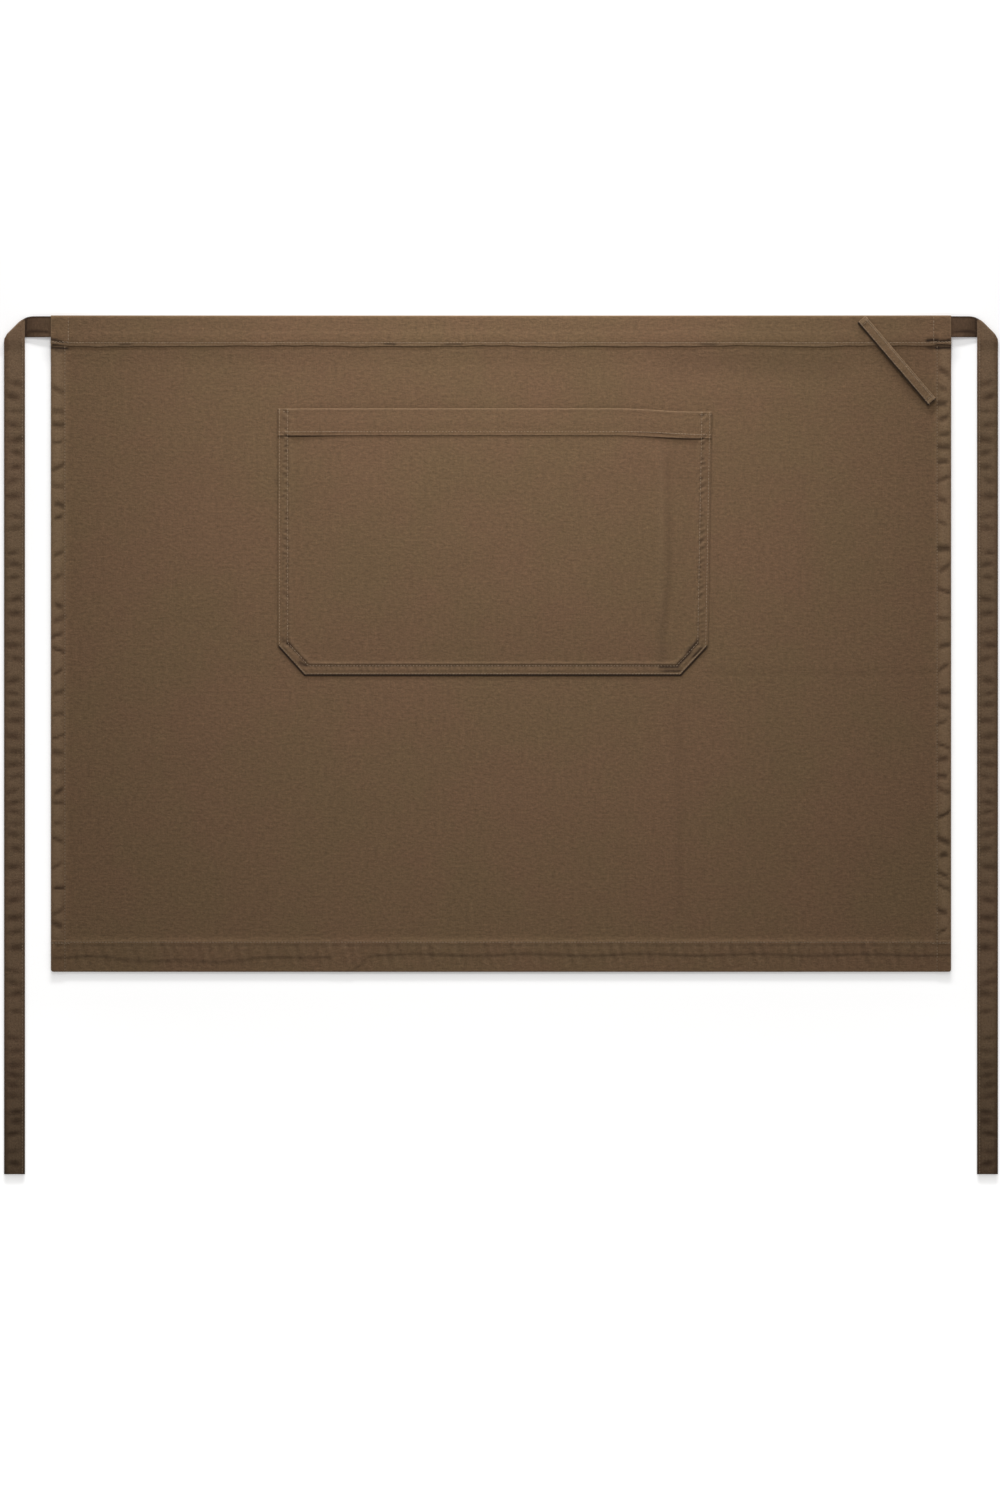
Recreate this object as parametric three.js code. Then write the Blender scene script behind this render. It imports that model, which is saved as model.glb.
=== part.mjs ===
import * as THREE from 'three';

// Sizes in millimetres. The apron lies on its back: X runs across it, Y towards its waistband
// and Z out of its face. The origin is under the middle of the whole thing, ties included.
const apronWidth = 860;
const apronHeight = 626;
const plyThickness = 1;
const sewnGap = 0.3;
const foldRound = 0.8;
const foldTaper = 0.3;
const rawStep = 0.4;

const hemThickness = 2;
const sideHemWidth = 13.4;
const bottomHemHeight = 28.7;
const hemCornerRadius = 2.4;
const puckerPitch = 18;
const puckerHeight = 0.5;
const puckerReach = 9;

const panelTuck = 7.4;
const waistbandSlope = 12;

const tieWidth = 20;
const tieThickness = 2;
const tieInsert = 17;
const tieOffset = 25;
const tieDrop = 820;
const tieSettle = 15;

const pocketWidth = 411;
const pocketHeight = 254;
const pocketDrop = 88.5;
const pocketShift = -8;
const pocketFlare = 4;
const pocketMouthDip = 3;
const pocketDipStart = 0.8;
const pocketBandHeight = 26;
const pocketBandThickness = 2.2;
const pocketSeam = 10;
const pocketSeamStep = 1.5;
const pocketGape = 5.8;
const pocketFieldSag = 0.5;
const chamferWidth = 25.5;
const chamferHeight = 28;

const loopWidth = 10.3;
const loopThickness = 1.8;
const loopLength = 103;
const loopAngle = THREE.MathUtils.degToRad(49.5);
const loopHemGap = 1.4;
const loopPassage = 5.8;

// Shares of the towel loop's length: it leaves its upper seat, is fully bowed, starts down, lands.
const loopStages = { leaves: 0.08, bowed: 0.38, descends: 0.66, lands: 0.93 };

// How level the open pocket stays before it closes to its sides and to its lower edge.
const sidewaysFullness = 6;
const downwardsFullness = 4;

// The crease that runs down the pocket: where across it, how far to each side, and how deep.
const creaseShare = 0.9;
const creaseReach = 0.05;
const creaseDepth = 0.9;

const canvasColour = 0x6f5740;
const tieColour = 0x5c4939;

// What follows from them.
const { clamp, lerp, smoothstep } = THREE.MathUtils;
const halfWidth = apronWidth / 2;
const topEdge = tieDrop / 2;
const bottomEdge = topEdge - apronHeight;
const slotDepth = Math.max(hemThickness, tieThickness) + 2 * sewnGap;
const waistbandThickness = slotDepth + 2 * plyThickness;
const tieTop = topEdge - plyThickness - sewnGap;
const tieMiddle = tieTop - tieWidth / 2;
const panelTop = tieTop - tieWidth - sewnGap;
const waistbandLower = panelTop - panelTuck;

// The stations from one value to another, both included.
function spread(from, to, count) {
  return Array.from({ length: count + 1 }, (_, k) => lerp(from, to, k / count));
}

// 1 on a folded edge, 0 from foldRound inwards.
function edgeOf(distance) {
  return 1 - clamp(distance / foldRound, 0, 1);
}

// A closed wall of cloth over a grid of stations. face and back give a point of each side, with
// along turned a quarter turn from across, as seen from the face.
function clothWall(across, along, face, back) {
  const columns = across.length;
  const rows = along.length;
  const positions = [];
  for (const side of [face, back]) {
    for (const b of along) {
      for (const a of across) {
        positions.push(...side(a, b));
      }
    }
  }
  const faceAt = (i, j) => j * columns + i;
  const backAt = (i, j) => rows * columns + faceAt(i, j);
  const indices = [];
  for (let j = 0; j < rows - 1; j++) {
    for (let i = 0; i < columns - 1; i++) {
      indices.push(faceAt(i, j), faceAt(i + 1, j), faceAt(i + 1, j + 1));
      indices.push(faceAt(i, j), faceAt(i + 1, j + 1), faceAt(i, j + 1));
      indices.push(backAt(i, j), backAt(i + 1, j + 1), backAt(i + 1, j));
      indices.push(backAt(i, j), backAt(i, j + 1), backAt(i + 1, j + 1));
    }
  }
  const rim = [];
  for (let i = 0; i < columns - 1; i++) {
    rim.push([i, 0]);
  }
  for (let j = 0; j < rows - 1; j++) {
    rim.push([columns - 1, j]);
  }
  for (let i = columns - 1; i > 0; i--) {
    rim.push([i, rows - 1]);
  }
  for (let j = rows - 1; j > 0; j--) {
    rim.push([0, j]);
  }
  rim.forEach((here, k) => {
    const next = rim[(k + 1) % rim.length];
    indices.push(backAt(...here), backAt(...next), faceAt(...next));
    indices.push(backAt(...here), faceAt(...next), faceAt(...here));
  });
  const geometry = new THREE.BufferGeometry();
  geometry.setAttribute('position', new THREE.Float32BufferAttribute(positions, 3));
  geometry.setIndex(indices);
  geometry.computeVertexNormals();
  return geometry;
}

function piece(name, geometry, color) {
  const material = new THREE.MeshStandardMaterial({ color, roughness: 0.9, metalness: 0 });
  const mesh = new THREE.Mesh(geometry, material);
  mesh.name = name;
  return mesh;
}

// The panel is one ply on the surface below it. Its hems are turned to the back, and its raw top
// climbs between the plies of the waistband.
function panelLift(y) {
  return smoothstep(y, waistbandLower - waistbandSlope, waistbandLower);
}

// The stitches draw the side hems into small puckers, which die out in the cloth beside them.
const hemTop = bottomEdge + bottomHemHeight;
const puckeredFrom = hemTop + rawStep;
const puckeredTo = waistbandLower - waistbandSlope;
const puckerCount = Math.round((puckeredTo - puckeredFrom) / puckerPitch);

function panelPucker(x, y) {
  const phase = (puckerCount * (y - puckeredFrom)) / (puckeredTo - puckeredFrom);
  if (phase < 0 || phase > puckerCount) {
    return 0;
  }
  const inside = halfWidth - Math.abs(x) - sideHemWidth;
  const fade = 1 - clamp(inside / puckerReach, 0, 1);
  return (puckerHeight * fade * (1 - Math.cos(2 * Math.PI * phase))) / 2;
}

function panelHem(x, y) {
  const side = halfWidth - Math.abs(x) - sideHemWidth;
  const bottom = y - bottomEdge - bottomHemHeight;
  const ply = hemThickness - plyThickness;
  return ply * (1 - clamp(Math.min(side, bottom) / rawStep, 0, 1));
}

function panelFace(x, y) {
  const tucked = waistbandThickness - plyThickness - sewnGap;
  const lying = plyThickness + panelHem(x, y) + panelPucker(x, y);
  return lerp(lying, tucked, panelLift(y));
}

function panelBack(x, y) {
  return panelFace(x, y) - plyThickness - panelHem(x, y);
}

// Draws the square corner of a hem in to an arc.
function roundedCorner(x, y) {
  const outX = Math.abs(x) - halfWidth + hemCornerRadius;
  const outY = bottomEdge + hemCornerRadius - y;
  if (outX <= 0 || outY <= 0) {
    return [x, y];
  }
  const pull = Math.max(outX, outY) / Math.hypot(outX, outY);
  return [
    Math.sign(x) * (halfWidth - hemCornerRadius + outX * pull),
    bottomEdge + hemCornerRadius - outY * pull,
  ];
}

function makeFrontPanel() {
  const fieldHalf = halfWidth - sideHemWidth - puckerReach;
  const right = [
    halfWidth - sideHemWidth - rawStep,
    halfWidth - sideHemWidth,
    halfWidth - hemCornerRadius,
    halfWidth - foldRound,
    halfWidth,
  ];
  const left = right.map((x) => -x).reverse();
  const across = [...left, ...spread(-fieldHalf, fieldHalf, 4), ...right];
  const along = [
    bottomEdge,
    bottomEdge + foldRound,
    bottomEdge + hemCornerRadius,
    hemTop,
    ...spread(puckeredFrom, puckeredTo, 2 * puckerCount),
    ...spread(puckeredTo, waistbandLower, 4).slice(1),
    panelTop,
  ];
  const rim = (x, y) => {
    const edge = edgeOf(Math.min(halfWidth - Math.abs(x), y - bottomEdge));
    return edge * foldTaper * (plyThickness + panelHem(x, y));
  };
  return clothWall(
    across,
    along,
    (x, y) => [...roundedCorner(x, y), panelFace(x, y) - rim(x, y)],
    (x, y) => [...roundedCorner(x, y), panelBack(x, y) + rim(x, y)],
  );
}

// The waistband is a strip folded over the panel's top, open below and at both ends.
function makeWaistband() {
  const outerRadius = waistbandThickness / 2;
  const middle = topEdge - outerRadius;
  const section = new THREE.Shape();
  section.moveTo(waistbandLower, 0);
  section.lineTo(middle, 0);
  section.absarc(middle, outerRadius, outerRadius, -Math.PI / 2, Math.PI / 2, false);
  section.lineTo(waistbandLower, waistbandThickness);
  section.lineTo(waistbandLower, waistbandThickness - plyThickness);
  section.absarc(middle, outerRadius, slotDepth / 2, Math.PI / 2, -Math.PI / 2, true);
  section.lineTo(waistbandLower, plyThickness);
  section.closePath();
  const strip = new THREE.ExtrudeGeometry(section, {
    depth: apronWidth,
    curveSegments: 8,
    bevelEnabled: false,
  });
  strip.translate(0, 0, -halfWidth);
  const towardsY = new THREE.Vector3(0, 1, 0);
  const towardsZ = new THREE.Vector3(0, 0, 1);
  const towardsX = new THREE.Vector3(1, 0, 0);
  strip.applyMatrix4(new THREE.Matrix4().makeBasis(towardsY, towardsZ, towardsX));
  return strip;
}

// The pocket is stitched down on its sides and its lower edge, over a turned allowance, and
// stands a little open at its mouth, where its hem band is turned to the front.
const pocketMouth = topEdge - pocketDrop;
const pocketBottom = pocketMouth - pocketHeight;
const pocketSeat = plyThickness + sewnGap;

function pocketSides(y) {
  const cut = chamferWidth * clamp((pocketBottom + chamferHeight - y) / chamferHeight, 0, 1);
  const flare = (pocketFlare * (y - pocketBottom)) / pocketHeight;
  return {
    left: pocketShift - pocketWidth / 2 + cut,
    right: pocketShift + pocketWidth / 2 + flare - cut,
  };
}

// A column of the pocket lies at a share of its width, moved by an inset from the nearer side.
function pocketPoint(column, y) {
  const { left, right } = pocketSides(y);
  const dip = pocketMouthDip * smoothstep(column.share, pocketDipStart, 1);
  const drop = (dip * (y - pocketBottom)) / pocketHeight;
  return [lerp(left, right, column.share) + column.inset, y - drop];
}

function pocketRise(column, y) {
  const fromSeam = Math.min(column.fromSide, y - pocketBottom) - pocketSeam;
  if (fromSeam <= 0) {
    return 0;
  }
  const sideways = Math.abs(2 * column.share - 1);
  const downwards = (pocketMouth - y) / (pocketHeight - pocketSeam);
  const full = pocketGape - sewnGap;
  const sag = pocketFieldSag * smoothstep(fromSeam, pocketSeamStep, pocketSeam);
  const billow = (1 - sideways ** sidewaysFullness) * (1 - downwards ** downwardsFullness);
  const offCrease = Math.min(Math.abs(column.share - creaseShare) / creaseReach, 1);
  const crease = (creaseDepth * (1 + Math.cos(Math.PI * offCrease))) / 2;
  return lerp(plyThickness - sag, full - crease, billow) * clamp(fromSeam / rawStep, 0, 1);
}

function pocketThickness(column, y) {
  const fromSeam = Math.min(column.fromSide, y - pocketBottom) - pocketSeam;
  const allowance = plyThickness * (1 - clamp(fromSeam / rawStep, 0, 1));
  const inBand = clamp((y - pocketMouth + pocketBandHeight + rawStep) / rawStep, 0, 1);
  return plyThickness + allowance + (pocketBandThickness - plyThickness) * inBand;
}

function makePocket() {
  const leftColumns = [0, foldRound, pocketSeam, pocketSeam + rawStep].map((inset) => ({
    share: 0,
    inset,
    fromSide: inset,
  }));
  const rightColumns = leftColumns.map(({ inset }) => ({
    share: 1,
    inset: -inset,
    fromSide: inset,
  }));
  const inner = pocketSeam + rawStep;
  const between = spread(0, 1, 20).slice(1, -1).map((share) => ({
    share,
    inset: inner * (1 - 2 * share),
    fromSide: inner + pocketSeam,
  }));
  const columns = [...leftColumns, ...between, ...rightColumns.reverse()];
  const bandLower = pocketMouth - pocketBandHeight;
  const rows = [
    pocketBottom,
    pocketBottom + foldRound,
    pocketBottom + pocketSeam,
    pocketBottom + pocketSeam + rawStep,
    pocketBottom + chamferHeight,
    ...spread(pocketBottom + chamferHeight, bandLower - rawStep, 7).slice(1),
    bandLower,
    pocketMouth - pocketBandHeight / 2,
    pocketMouth - foldRound,
    pocketMouth,
  ];
  const rim = (column, y) => {
    const nearest = Math.min(column.fromSide, y - pocketBottom, pocketMouth - y);
    return edgeOf(nearest) * foldTaper * pocketThickness(column, y);
  };
  const under = (column, y) => pocketSeat + pocketRise(column, y);
  return clothWall(
    columns,
    rows,
    (c, y) => [...pocketPoint(c, y), under(c, y) + pocketThickness(c, y) - rim(c, y)],
    (c, y) => [...pocketPoint(c, y), under(c, y) + rim(c, y)],
  );
}

// The towel loop runs slantwise from the waistband's top fold to the side hem, bowed clear of
// the cloth between its two sewn ends.
function makeTowelLoop() {
  const half = loopWidth / 2;
  const run = new THREE.Vector2(Math.cos(loopAngle), -Math.sin(loopAngle));
  const aside = new THREE.Vector2(-Math.sin(loopAngle), -Math.cos(loopAngle));
  const lowerCorner = halfWidth - sideHemWidth - rawStep - loopHemGap;
  const start = new THREE.Vector2(
    lowerCorner - loopLength * run.x + half * aside.x,
    topEdge + half * aside.y,
  );
  const upperSeat = waistbandThickness + sewnGap;
  const lowerSeat = plyThickness + puckerHeight + sewnGap;
  const bow = plyThickness + loopPassage;
  const under = (share) => {
    const { leaves, bowed, descends, lands } = loopStages;
    const risen = lerp(upperSeat, bow, smoothstep(share, leaves, bowed));
    return lerp(risen, lowerSeat, smoothstep(share, descends, lands));
  };
  const point = (b, share) => {
    const place = start.clone().addScaledVector(run, share * loopLength);
    return place.addScaledVector(aside, b).toArray();
  };
  const rim = (b) => edgeOf(half - Math.abs(b)) * foldTaper * loopThickness;
  return clothWall(
    [-half, foldRound - half, half - foldRound, half],
    spread(0, 1, 24),
    (b, share) => [...point(b, share), under(share) + loopThickness - rim(b)],
    (b, share) => [...point(b, share), under(share) + rim(b)],
  );
}

// A tie comes out of the waistband's end, rolls over on a slanting fold and falls beside the
// apron on top of its own stub. side is 1 on the right and -1 on the left.
function makeTie(side) {
  const rollRadius = (tieThickness + sewnGap) / 2;
  const rollShift = (Math.PI * rollRadius) / Math.SQRT2;
  const fallMiddle = halfWidth + tieOffset + tieWidth / 2;
  const foldAt = fallMiddle - rollShift;
  const insertedEnd = halfWidth - tieInsert;
  const flatEnd = foldAt + tieMiddle + rollShift + tieDrop / 2;
  const slotSeat = plyThickness + sewnGap;
  const stubEnd = halfWidth + sewnGap;
  const stubLower = tieMiddle - tieWidth / 2;

  // The flat strap, folded: x and b are a place on it before the fold, h its height in the ply.
  const folded = (x, b, h) => {
    const beyond = (x - foldAt + b) / Math.SQRT2;
    const onStub = slotSeat * (1 - smoothstep(x, stubEnd, halfWidth + tieOffset - rollShift));
    if (beyond <= 0) {
      return [x, tieMiddle + b, h + onStub];
    }
    const turn = Math.min(beyond / rollRadius, Math.PI);
    const reach = rollRadius + tieThickness / 2 - h;
    const past = beyond - turn * rollRadius;
    const along = (reach * Math.sin(turn) - past - beyond) / Math.SQRT2;
    const y = tieMiddle + b + along;
    const settled = smoothstep(stubLower - y, sewnGap, tieSettle);
    const z = tieThickness / 2 + rollRadius - reach * Math.cos(turn);
    return [x + along, y, z - settled * 2 * rollRadius];
  };

  // Rows lie square across the strap at its ends and slant with the fold in between.
  const roll = Math.PI * rollRadius * Math.SQRT2;
  const fallStart = foldAt + roll;
  const squareAgain = fallStart + 2 * tieWidth;
  const rows = [
    insertedEnd,
    ...spread(stubEnd, foldAt, 7),
    ...spread(foldAt, fallStart, 8).slice(1),
    ...spread(fallStart, squareAgain, 8).slice(1),
    ...spread(squareAgain, flatEnd, 12).slice(1),
  ];
  const slant = (x) => smoothstep(x, stubEnd, foldAt) - smoothstep(x, fallStart, squareAgain);
  const half = tieWidth / 2;
  const rim = (b) => edgeOf(half - Math.abs(b)) * foldTaper * tieThickness;
  const place = (b, x, h) => {
    const [px, py, pz] = folded(x - b * slant(x), b, h);
    return [side * px, py, pz];
  };
  const across = [-half, foldRound - half, half - foldRound, half].map((b) => -side * b);
  return clothWall(
    across,
    rows,
    (b, x) => place(b, x, tieThickness - rim(b)),
    (b, x) => place(b, x, rim(b)),
  );
}

const apron = new THREE.Group();
apron.name = 'waist_apron';
apron.add(piece('front_panel', makeFrontPanel(), canvasColour));
apron.add(piece('waistband', makeWaistband(), canvasColour));
apron.add(piece('pocket', makePocket(), canvasColour));
apron.add(piece('towel_loop', makeTowelLoop(), canvasColour));
apron.add(piece('tie_left', makeTie(-1), tieColour));
apron.add(piece('tie_right', makeTie(1), tieColour));

export default apron;
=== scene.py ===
import math
import bpy
import numpy as np
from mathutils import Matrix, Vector


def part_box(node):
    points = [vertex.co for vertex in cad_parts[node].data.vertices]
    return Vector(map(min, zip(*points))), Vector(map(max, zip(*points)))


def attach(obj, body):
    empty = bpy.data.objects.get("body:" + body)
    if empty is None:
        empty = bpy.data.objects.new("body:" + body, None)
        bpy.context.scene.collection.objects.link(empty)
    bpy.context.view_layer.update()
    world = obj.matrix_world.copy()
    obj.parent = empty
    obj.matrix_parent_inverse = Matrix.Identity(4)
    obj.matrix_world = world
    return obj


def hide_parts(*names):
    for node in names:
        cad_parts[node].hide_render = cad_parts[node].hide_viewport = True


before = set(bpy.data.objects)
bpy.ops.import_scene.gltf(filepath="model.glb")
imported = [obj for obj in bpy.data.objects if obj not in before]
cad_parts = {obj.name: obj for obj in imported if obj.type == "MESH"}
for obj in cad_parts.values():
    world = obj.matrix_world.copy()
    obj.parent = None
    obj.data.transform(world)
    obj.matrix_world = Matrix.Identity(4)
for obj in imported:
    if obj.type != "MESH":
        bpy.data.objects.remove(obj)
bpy.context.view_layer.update()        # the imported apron: its bodies, nodes and record

# Shapes are worked out in millimetres, in the frame's own axes, and become metres in the meshes.
mm = 0.001
cloth = {"ply": 0.7, "thread": 0.55, "clear": 0.1, "sliver": 0.02}


def boxOf(node):
    low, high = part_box(node)
    return np.array(low) / mm, np.array(high) / mm


panelLow, panelHigh = boxOf("front_panel")
bandLow, bandHigh = boxOf("waistband")
pocketLow, pocketHigh = boxOf("pocket")
_, loopHigh = boxOf("towel_loop")
tieLow, tieHigh = boxOf("tie_right")
halfWidth, bottomEdge, panelTop = panelHigh[0], panelLow[1], panelHigh[1]
topEdge, bandLower = bandHigh[1], bandLow[1]

# Where the photo's columns and rows lie on the apron.
photo = {"pixel": 0.9566, "middleColumn": 501, "topRow": 316.5, "width": 1000, "height": 1500}


def columnAt(column):
    return (column - photo["middleColumn"]) * photo["pixel"]


def rowAt(row):
    return topEdge - (row - photo["topRow"]) * photo["pixel"]


# Small shapes that every piece is built from.
def smooth(value, start, reach):
    t = np.clip((value - start) / reach, 0, 1)
    return t * t * (3 - 2 * t)


def hump(distance, halfwidth):
    return np.exp(-np.square(distance / halfwidth))


def between(low, high, t):
    return low + (high - low) * t


def roundOff(inside, radius):
    # how far a surface has come down at a folded edge, 0 a radius in and 1 on the edge
    t = np.clip(1 - inside / radius, 0, 1)
    return 1 - np.sqrt(np.clip(1 - t * t, 0, 1))


def meetAtEdge(front, back, middle, nose, sliver=cloth["sliver"]):
    # the two surfaces of a wall come together at a folded edge, all but a sliver
    return between(front, middle + sliver, nose), between(back, middle - sliver, nose)


def softLine(distance, shape):
    # a soft line by its strength, how far away it lies and its half width
    strength, place, halfwidth = shape
    return strength * hump(distance - place, halfwidth)


def rippled(along, beat, shift=0):
    # an uneven ripple: its length, how far its beat sways and the sway's own length
    length, sway, swayLength = beat
    return np.sin(along / length + shift + sway * np.sin(along / swayLength))


def bent(x, table):
    # slow bends, each by its height and length
    return sum(height * np.sin(x / length) for height, length in table)


def softWaves(x, y, seed, length, count=7, lengths=(0.7, 1.6)):
    # slow waves over the cloth, from 0 to 1
    draw = np.random.default_rng(seed)
    total = 0
    for _ in range(count):
        angle, phase = draw.uniform(0, 2 * math.pi, 2)
        stretch = length * draw.uniform(*lengths)
        total = total + np.sin(2 * math.pi * (x * math.cos(angle) + y * math.sin(angle)) / stretch + phase)
    return 0.5 + 0.5 * np.tanh(total / math.sqrt(count))


def foldsOver(x, y, table):
    # the sum of the straight folds in a table, each fading out past its two ends
    total = 0
    for fromColumn, fromRow, toColumn, toRow, height, halfwidth in table:
        startX, startY = columnAt(fromColumn), rowAt(fromRow)
        runX, runY = columnAt(toColumn) - startX, rowAt(toRow) - startY
        share = ((x - startX) * runX + (y - startY) * runY) / (runX * runX + runY * runY)
        share = np.clip(share, 0, 1)
        away = np.hypot(x - startX - share * runX, y - startY - share * runY)
        total = total + height * hump(away, halfwidth)
    return total


def stations(offsets, low, high, pitch, endOffsets):
    # close stations beside both ends, even ones between, and an even count of steps
    first = [low + o for o in offsets]
    last = [high - o for o in reversed(endOffsets)]
    gap = last[0] - first[-1]
    count = 2 * max(1, round(gap / pitch / 2))
    if (len(first) + len(last)) % 2:
        count += 1
    middle = [first[-1] + gap * k / count for k in range(1, count)]
    return np.array(first + middle + last)


# Meshes.
def gridFaces(rows, columns, fine=None):
    index = np.arange(rows * columns).reshape(rows, columns)
    if fine is None:
        corners = (index[:-1, :-1], index[:-1, 1:], index[1:, 1:], index[1:, :-1])
        return np.stack([c.ravel() for c in corners], axis=1).tolist()
    # fine cells keep their four quads; the others are one face, with a corner where a fine one meets it
    faces = []
    tall, wide = fine.shape
    for j in range(tall):
        for i in range(wide):
            r, c = 2 * j, 2 * i
            if fine[j, i]:
                for a, b in ((r, c), (r, c + 1), (r + 1, c), (r + 1, c + 1)):
                    faces.append([index[a, b], index[a, b + 1], index[a + 1, b + 1], index[a + 1, b]])
                continue
            ring = [index[r, c]]
            if j > 0 and fine[j - 1, i]:
                ring.append(index[r, c + 1])
            ring.append(index[r, c + 2])
            if i < wide - 1 and fine[j, i + 1]:
                ring.append(index[r + 1, c + 2])
            ring.append(index[r + 2, c + 2])
            if j < tall - 1 and fine[j + 1, i]:
                ring.append(index[r + 2, c + 1])
            ring.append(index[r + 2, c])
            if i > 0 and fine[j, i - 1]:
                ring.append(index[r + 1, c])
            faces.append(ring)
    return [[int(v) for v in ring] for ring in faces]


def addPiece(name, points, faces, uv, marks, material):
    used = np.unique(np.concatenate([np.array(f) for f in faces]))
    renumber = np.full(len(points), -1)
    renumber[used] = np.arange(len(used))
    faces = [[int(renumber[v]) for v in f] for f in faces]
    mesh = bpy.data.meshes.new(name)
    mesh.from_pydata((points[used] * mm).tolist(), [], faces)
    corner = np.zeros(len(mesh.loops), dtype=np.int32)
    mesh.loops.foreach_get("vertex_index", corner)
    layer = mesh.uv_layers.new(name="cloth")
    layer.data.foreach_set("uv", (uv[used][corner] * mm).astype(np.float32).ravel())
    for mark, values in marks.items():
        attribute = mesh.attributes.new(mark, "FLOAT", "POINT")
        attribute.data.foreach_set("value", values[used].astype(np.float32))
    mesh.shade_smooth()
    mesh.materials.append(material)
    mesh.validate()
    piece = bpy.data.objects.new(name, mesh)
    bpy.context.scene.collection.objects.link(piece)
    print("made", name, len(mesh.vertices), "vertices")
    return piece


def clothWall(name, face, back, uv, marks, material, fine=None):
    # a closed wall of cloth between two grids of points, face outwards
    rows, columns = face.shape[:2]
    count = rows * columns
    outer = gridFaces(rows, columns, fine)
    inner = [[v + count for v in reversed(f)] for f in outer]
    ring = [(0, i) for i in range(columns - 1)] + [(j, columns - 1) for j in range(rows - 1)]
    ring += [(rows - 1, i) for i in range(columns - 1, 0, -1)] + [(j, 0) for j in range(rows - 1, 0, -1)]
    rim = [j * columns + i for j, i in ring]
    edge = [[b, a, a + count, b + count] for a, b in zip(rim, rim[1:] + rim[:1])]
    points = np.concatenate([face.reshape(-1, 3), back.reshape(-1, 3)])
    j, i = rows // 2, columns // 2
    inwards = np.cross(face[j + 1, i] - face[j, i], face[j, i + 1] - face[j, i])
    faces = outer + inner + edge
    if inwards @ (back[j, i] - face[j, i]) < 0:
        faces = [list(reversed(f)) for f in faces]
    twice = {mark: np.concatenate([v.ravel(), v.ravel()]) for mark, v in marks.items()}
    return addPiece(name, points, faces, np.concatenate([uv.reshape(-1, 2)] * 2), twice, material)


# Shader maths: a socket that adds its Math nodes as it is calculated with.
class Value:
    def __init__(self, tree, socket):
        self.tree = tree
        self.socket = socket

    def maths(self, operation, first, second=None):
        node = self.tree.nodes.new("ShaderNodeMath")
        node.operation = operation
        for slot, item in zip(node.inputs, (first, second)):
            if isinstance(item, Value):
                self.tree.links.new(item.socket, slot)
            elif item is not None:
                slot.default_value = item
        return Value(self.tree, node.outputs[0])

    def __add__(self, other):
        return self.maths("ADD", self, other)

    def __radd__(self, other):
        return self.maths("ADD", other, self)

    def __sub__(self, other):
        return self.maths("SUBTRACT", self, other)

    def __rsub__(self, other):
        return self.maths("SUBTRACT", other, self)

    def __mul__(self, other):
        return self.maths("MULTIPLY", self, other)

    def __rmul__(self, other):
        return self.maths("MULTIPLY", other, self)

    def sine(self):
        return self.maths("SINE", self)

    def size(self):
        return self.maths("ABSOLUTE", self)

    def atMost(self, limit):
        return self.maths("MINIMUM", self, limit)


class NodeMaker:
    def __init__(self, tree):
        self.tree = tree

    def add(self, kind, settings=None, inputs=None, output=0):
        node = self.tree.nodes.new(kind)
        for key, item in (settings or {}).items():
            if key == "stops":
                ramp = node.color_ramp
                while len(ramp.elements) < len(item):
                    ramp.elements.new(0.5)
                for element, (place, shade) in zip(ramp.elements, item):
                    element.position = place
                    element.color = (shade, shade, shade, 1)
            else:
                setattr(node, key, item)
        for key, item in (inputs or {}).items():
            if isinstance(item, Value):
                self.tree.links.new(item.socket, node.inputs[key])
            else:
                node.inputs[key].default_value = item
        if len(node.outputs):
            return Value(self.tree, node.outputs[output])


class Finish(NodeMaker):
    def __init__(self, name):
        self.material = bpy.data.materials.new(name)
        self.material.use_nodes = True
        self.material.node_tree.nodes.clear()
        super().__init__(self.material.node_tree)

    def onObject(self):
        return self.add("ShaderNodeTexCoord", None, None, "Object")

    def axes(self, vector):
        return [self.add("ShaderNodeSeparateXYZ", None, {0: vector}, axis) for axis in "XYZ"]

    def mark(self, name):
        return self.add("ShaderNodeAttribute", {"attribute_name": name}, None, "Fac")

    def noise(self, vector, scale, detail=2.0, roughness=0.5):
        inputs = {"Vector": vector, "Scale": scale, "Detail": detail, "Roughness": roughness}
        return self.add("ShaderNodeTexNoise", None, inputs)

    def threads(self, vector, across, along, roughness=0.5):
        # noise that is drawn out along one thread of the weave
        drawnOut = self.add("ShaderNodeMapping", None, {"Vector": vector, "Scale": (across, along, 1)})
        return self.noise(drawnOut, 1, detail=3, roughness=roughness)

    def blend(self, how, factor, first, second):
        # inputs 6 and 7 and output 2 are the Mix node's colours
        settings = {"data_type": "RGBA", "blend_type": how}
        return self.add("ShaderNodeMix", settings, {0: factor, 6: first, 7: second}, 2)

    def scaled(self, vector, scale):
        return self.add("ShaderNodeVectorMath", {"operation": "SCALE"}, {0: vector, "Scale": scale})

    def fade(self, value, start, end, low, high, soft=True):
        return self.add("ShaderNodeMapRange", {"interpolation_type": "SMOOTHSTEP" if soft else "LINEAR"}, {
            "Value": value,
            "From Min": start,
            "From Max": end,
            "To Min": low,
            "To Max": high,
        })

    def done(self, shader):
        self.add("ShaderNodeOutputMaterial", None, {0: shader})
        return self.material


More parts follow.
